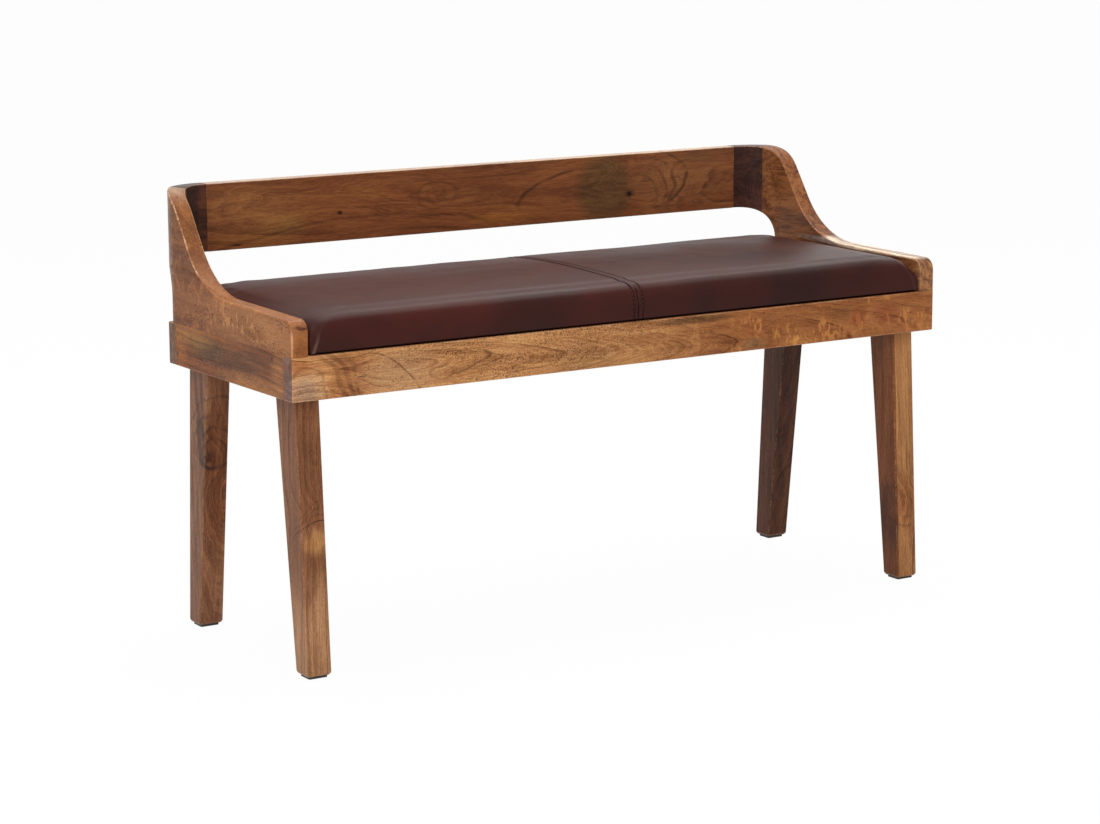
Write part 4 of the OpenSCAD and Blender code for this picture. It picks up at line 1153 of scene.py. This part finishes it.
def plyMaterial():
    material, wires, surface = newMaterial("birchPly")
    place = wires.place()
    layer = wires.maths("MULTIPLY", wires.part(place, 2), 1 / ply["thickness"])
    layer = wires.maths("PINGPONG", layer, 1.0)
    figure = wires.noise(place, (5.0, 60.0, 60.0), 4.0, 0.6)[0]
    colour = wires.mix(wires.remap(figure, 0.35, 0.65), ply["light"], ply["dark"])
    colour = wires.mix(wires.remap(layer, 0.75, 0.95, 0.0, 0.5), colour, ply["glue"])
    wires.plug(colour, surface.inputs["Base Color"])
    wires.plug(bumpNormal(wires, figure, 0.3, 0.0004), surface.inputs["Normal"])
    surface.inputs["Roughness"].default_value = 0.65
    return material


screw = {"head": 0.0045, "shank": 0.00225, "sink": 0.00225, "tip": 0.003,
         "slots": ((0.0052, 0.001, 0.0026, 1), (0.001, 0.0052, 0.0026, 1))}


def driveScrews():  # countersunk heads with a cross recess, seen from below
    low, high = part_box("seat_screws")
    shape, cutter = bmesh.new(), bmesh.new()
    places = [(rail, y) for rail in ("left", "middle", "right")
              for y in (low.y + screw["head"], high.y - screw["head"])]
    for rail, y in places:
        railLow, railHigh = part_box(rail + "_cross_rail")
        at = Vector(((railLow.x + railHigh.x) / 2, y, low.z))
        head = bmesh.ops.create_cone(shape, cap_ends=True, segments=32, radius1=screw["head"],
                                     radius2=screw["shank"], depth=screw["sink"])
        bmesh.ops.translate(shape, vec=at + Vector((0, 0, screw["sink"] / 2)), verts=head["verts"])
        shank = bmesh.ops.create_cone(shape, cap_ends=True, segments=24, radius1=screw["shank"],
                                      radius2=screw["shank"], depth=high.z - low.z - screw["tip"])
        bmesh.ops.translate(shape, vec=(at.x, at.y, (low.z + high.z) / 2), verts=shank["verts"])
        for size in screw["slots"]:
            arm = bmesh.ops.create_cube(cutter, size=1.0)["verts"]
            stopped = Matrix.Rotation(0.6 + 9 * at.x + 4 * at.y, 4, "Z")   # each screw at its own turn
            form = Matrix.Translation(at) @ stopped @ Matrix.Diagonal(size)
            bmesh.ops.transform(cutter, matrix=form, verts=arm)
    return shape, cutter


screwShape, cutterShape = driveScrews()
screws = newPiece("seatScrews", screwShape, zincSteel, "steel", "seat_screws")
cutter = shapeObject("recess", cutterShape)
recess = screws.modifiers.new("recess", "BOOLEAN")
recess.operation, recess.object, recess.solver, recess.use_self = "DIFFERENCE", cutter, "EXACT", True
bakeModifiers(screws)
bpy.data.objects.remove(cutter)
dress(screws, zincSteel)

keptNodes = {"seat_board": plyMaterial(), "leg_inserts": brass}
dowelBoard = dict(boards["middleCrossRail"], seed=80.0)
for kind, grain in {"rail": "y", "cross_rail": "y", "arm": "z", "back": "x"}.items():
    keptNodes[kind + "_dowels"] = woodMaterial(kind + "Dowel", dict(dowelBoard, grain=grain))
for node, material in keptNodes.items():
    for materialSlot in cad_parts[node].material_slots:
        materialSlot.material = material
print("scene: glides, fasteners and hidden wood")


# Floor, light and camera

stage = {"floor": 60.0, "ambient": 0.42, "whiteShare": 0.97}


def seenAsBackground(wires):  # camera, mirror and glass rays see plain white
    path = wires.add("ShaderNodeLightPath").outputs
    seen = wires.maths("MAXIMUM", path["Is Camera Ray"], path["Is Glossy Ray"])
    return wires.maths("MAXIMUM", seen, path["Is Transmission Ray"])


def buildFloor():
    shape = bmesh.new()
    bmesh.ops.create_circle(shape, cap_ends=True, segments=96, radius=stage["floor"])
    floor = shapeObject("floor", shape)
    material, wires, surface = newMaterial("paperFloor")
    surface.inputs["Base Color"].default_value = (0.9, 0.9, 0.9, 1)
    surface.inputs["Roughness"].default_value = 1.0
    surface.inputs["Specular IOR Level"].default_value = 0.0
    white = wires.add("ShaderNodeEmission", {"Color": (1, 1, 1, 1), "Strength": 1.0}).outputs[0]
    share = wires.maths("MULTIPLY", seenAsBackground(wires), stage["whiteShare"])
    paper = wires.add("ShaderNodeMixShader", {0: share, 1: surface.outputs[0], 2: white}).outputs[0]
    clear = wires.add("ShaderNodeBsdfTransparent").outputs[0]
    backfacing = wires.add("ShaderNodeNewGeometry").outputs["Backfacing"]
    cameraRay = wires.add("ShaderNodeLightPath").outputs["Is Camera Ray"]
    behind = wires.maths("MULTIPLY", backfacing, cameraRay)   # clear from below, so the underside is seen
    both = wires.add("ShaderNodeMixShader", {0: behind, 1: paper, 2: clear}).outputs[0]
    wires.plug(both, wires.tree.nodes["Material Output"].inputs["Surface"])
    dress(floor, material)


def buildWorld():
    world = bpy.data.worlds.new("studio")
    bpy.context.scene.world = world
    world.use_nodes = True
    world.node_tree.nodes.clear()
    wires = Wiring(world.node_tree)
    light = stage["ambient"]
    colour = wires.mix(seenAsBackground(wires), (light, light, light, 1), (1, 1, 1, 1))
    background = wires.add("ShaderNodeBackground", {"Color": colour, "Strength": 1.0}).outputs[0]
    wires.plug(background, wires.add("ShaderNodeOutputWorld").inputs["Surface"])


def areaLamp(name, place, target, size, power):
    lamp = bpy.data.lights.new(name, "AREA")
    lamp.shape, lamp.size, lamp.size_y, lamp.energy = "RECTANGLE", size[0], size[1], power
    holder = addObject(name, lamp)
    holder.location = place
    holder.rotation_euler = (Vector(target) - Vector(place)).to_track_quat("-Z", "Y").to_euler()


softboxes = {   # place, target, size in metres and power in watts
    "frontLeftSoftbox": ((-2.6, -3.4, 2.6), (0, 0, 0.4), (2.4, 2.4), 88.0),
    "topSoftbox": ((0.3, 0.4, 3.2), (0, 0, 0.4), (3.0, 2.4), 74.0),
    "rearRightSoftbox": ((2.1, 2.4, 3.3), (0, 0, 0.45), (1.2, 1.2), 14.0)}

buildFloor()
buildWorld()
for name, settings in softboxes.items():
    areaLamp(name, *settings)

view = {"place": (-2.3641, -3.7094, 1.1224), "turn": (-32.34, 79.21, -0.26),   # turns in degrees
        "sensor": 36.0, "focalPixels": 2991, "widePixels": 1100, "shift": 0.0049, "far": 500.0}
camera = bpy.data.cameras.new("camera")
camera.sensor_fit, camera.sensor_width = "HORIZONTAL", view["sensor"]
camera.lens = view["focalPixels"] / view["widePixels"] * view["sensor"]
camera.shift_x, camera.clip_end = view["shift"], view["far"]
cameraHolder = addObject("camera", camera)
pan, tilt, roll = (Matrix.Rotation(math.radians(angle), 4, axis)
                   for angle, axis in zip(view["turn"], "ZXZ"))
cameraHolder.matrix_world = Matrix.Translation(view["place"]) @ pan @ tilt @ roll
bpy.context.scene.camera = cameraHolder
bpy.context.scene.view_settings.view_transform = "Standard"
print("scene: floor, light and camera")
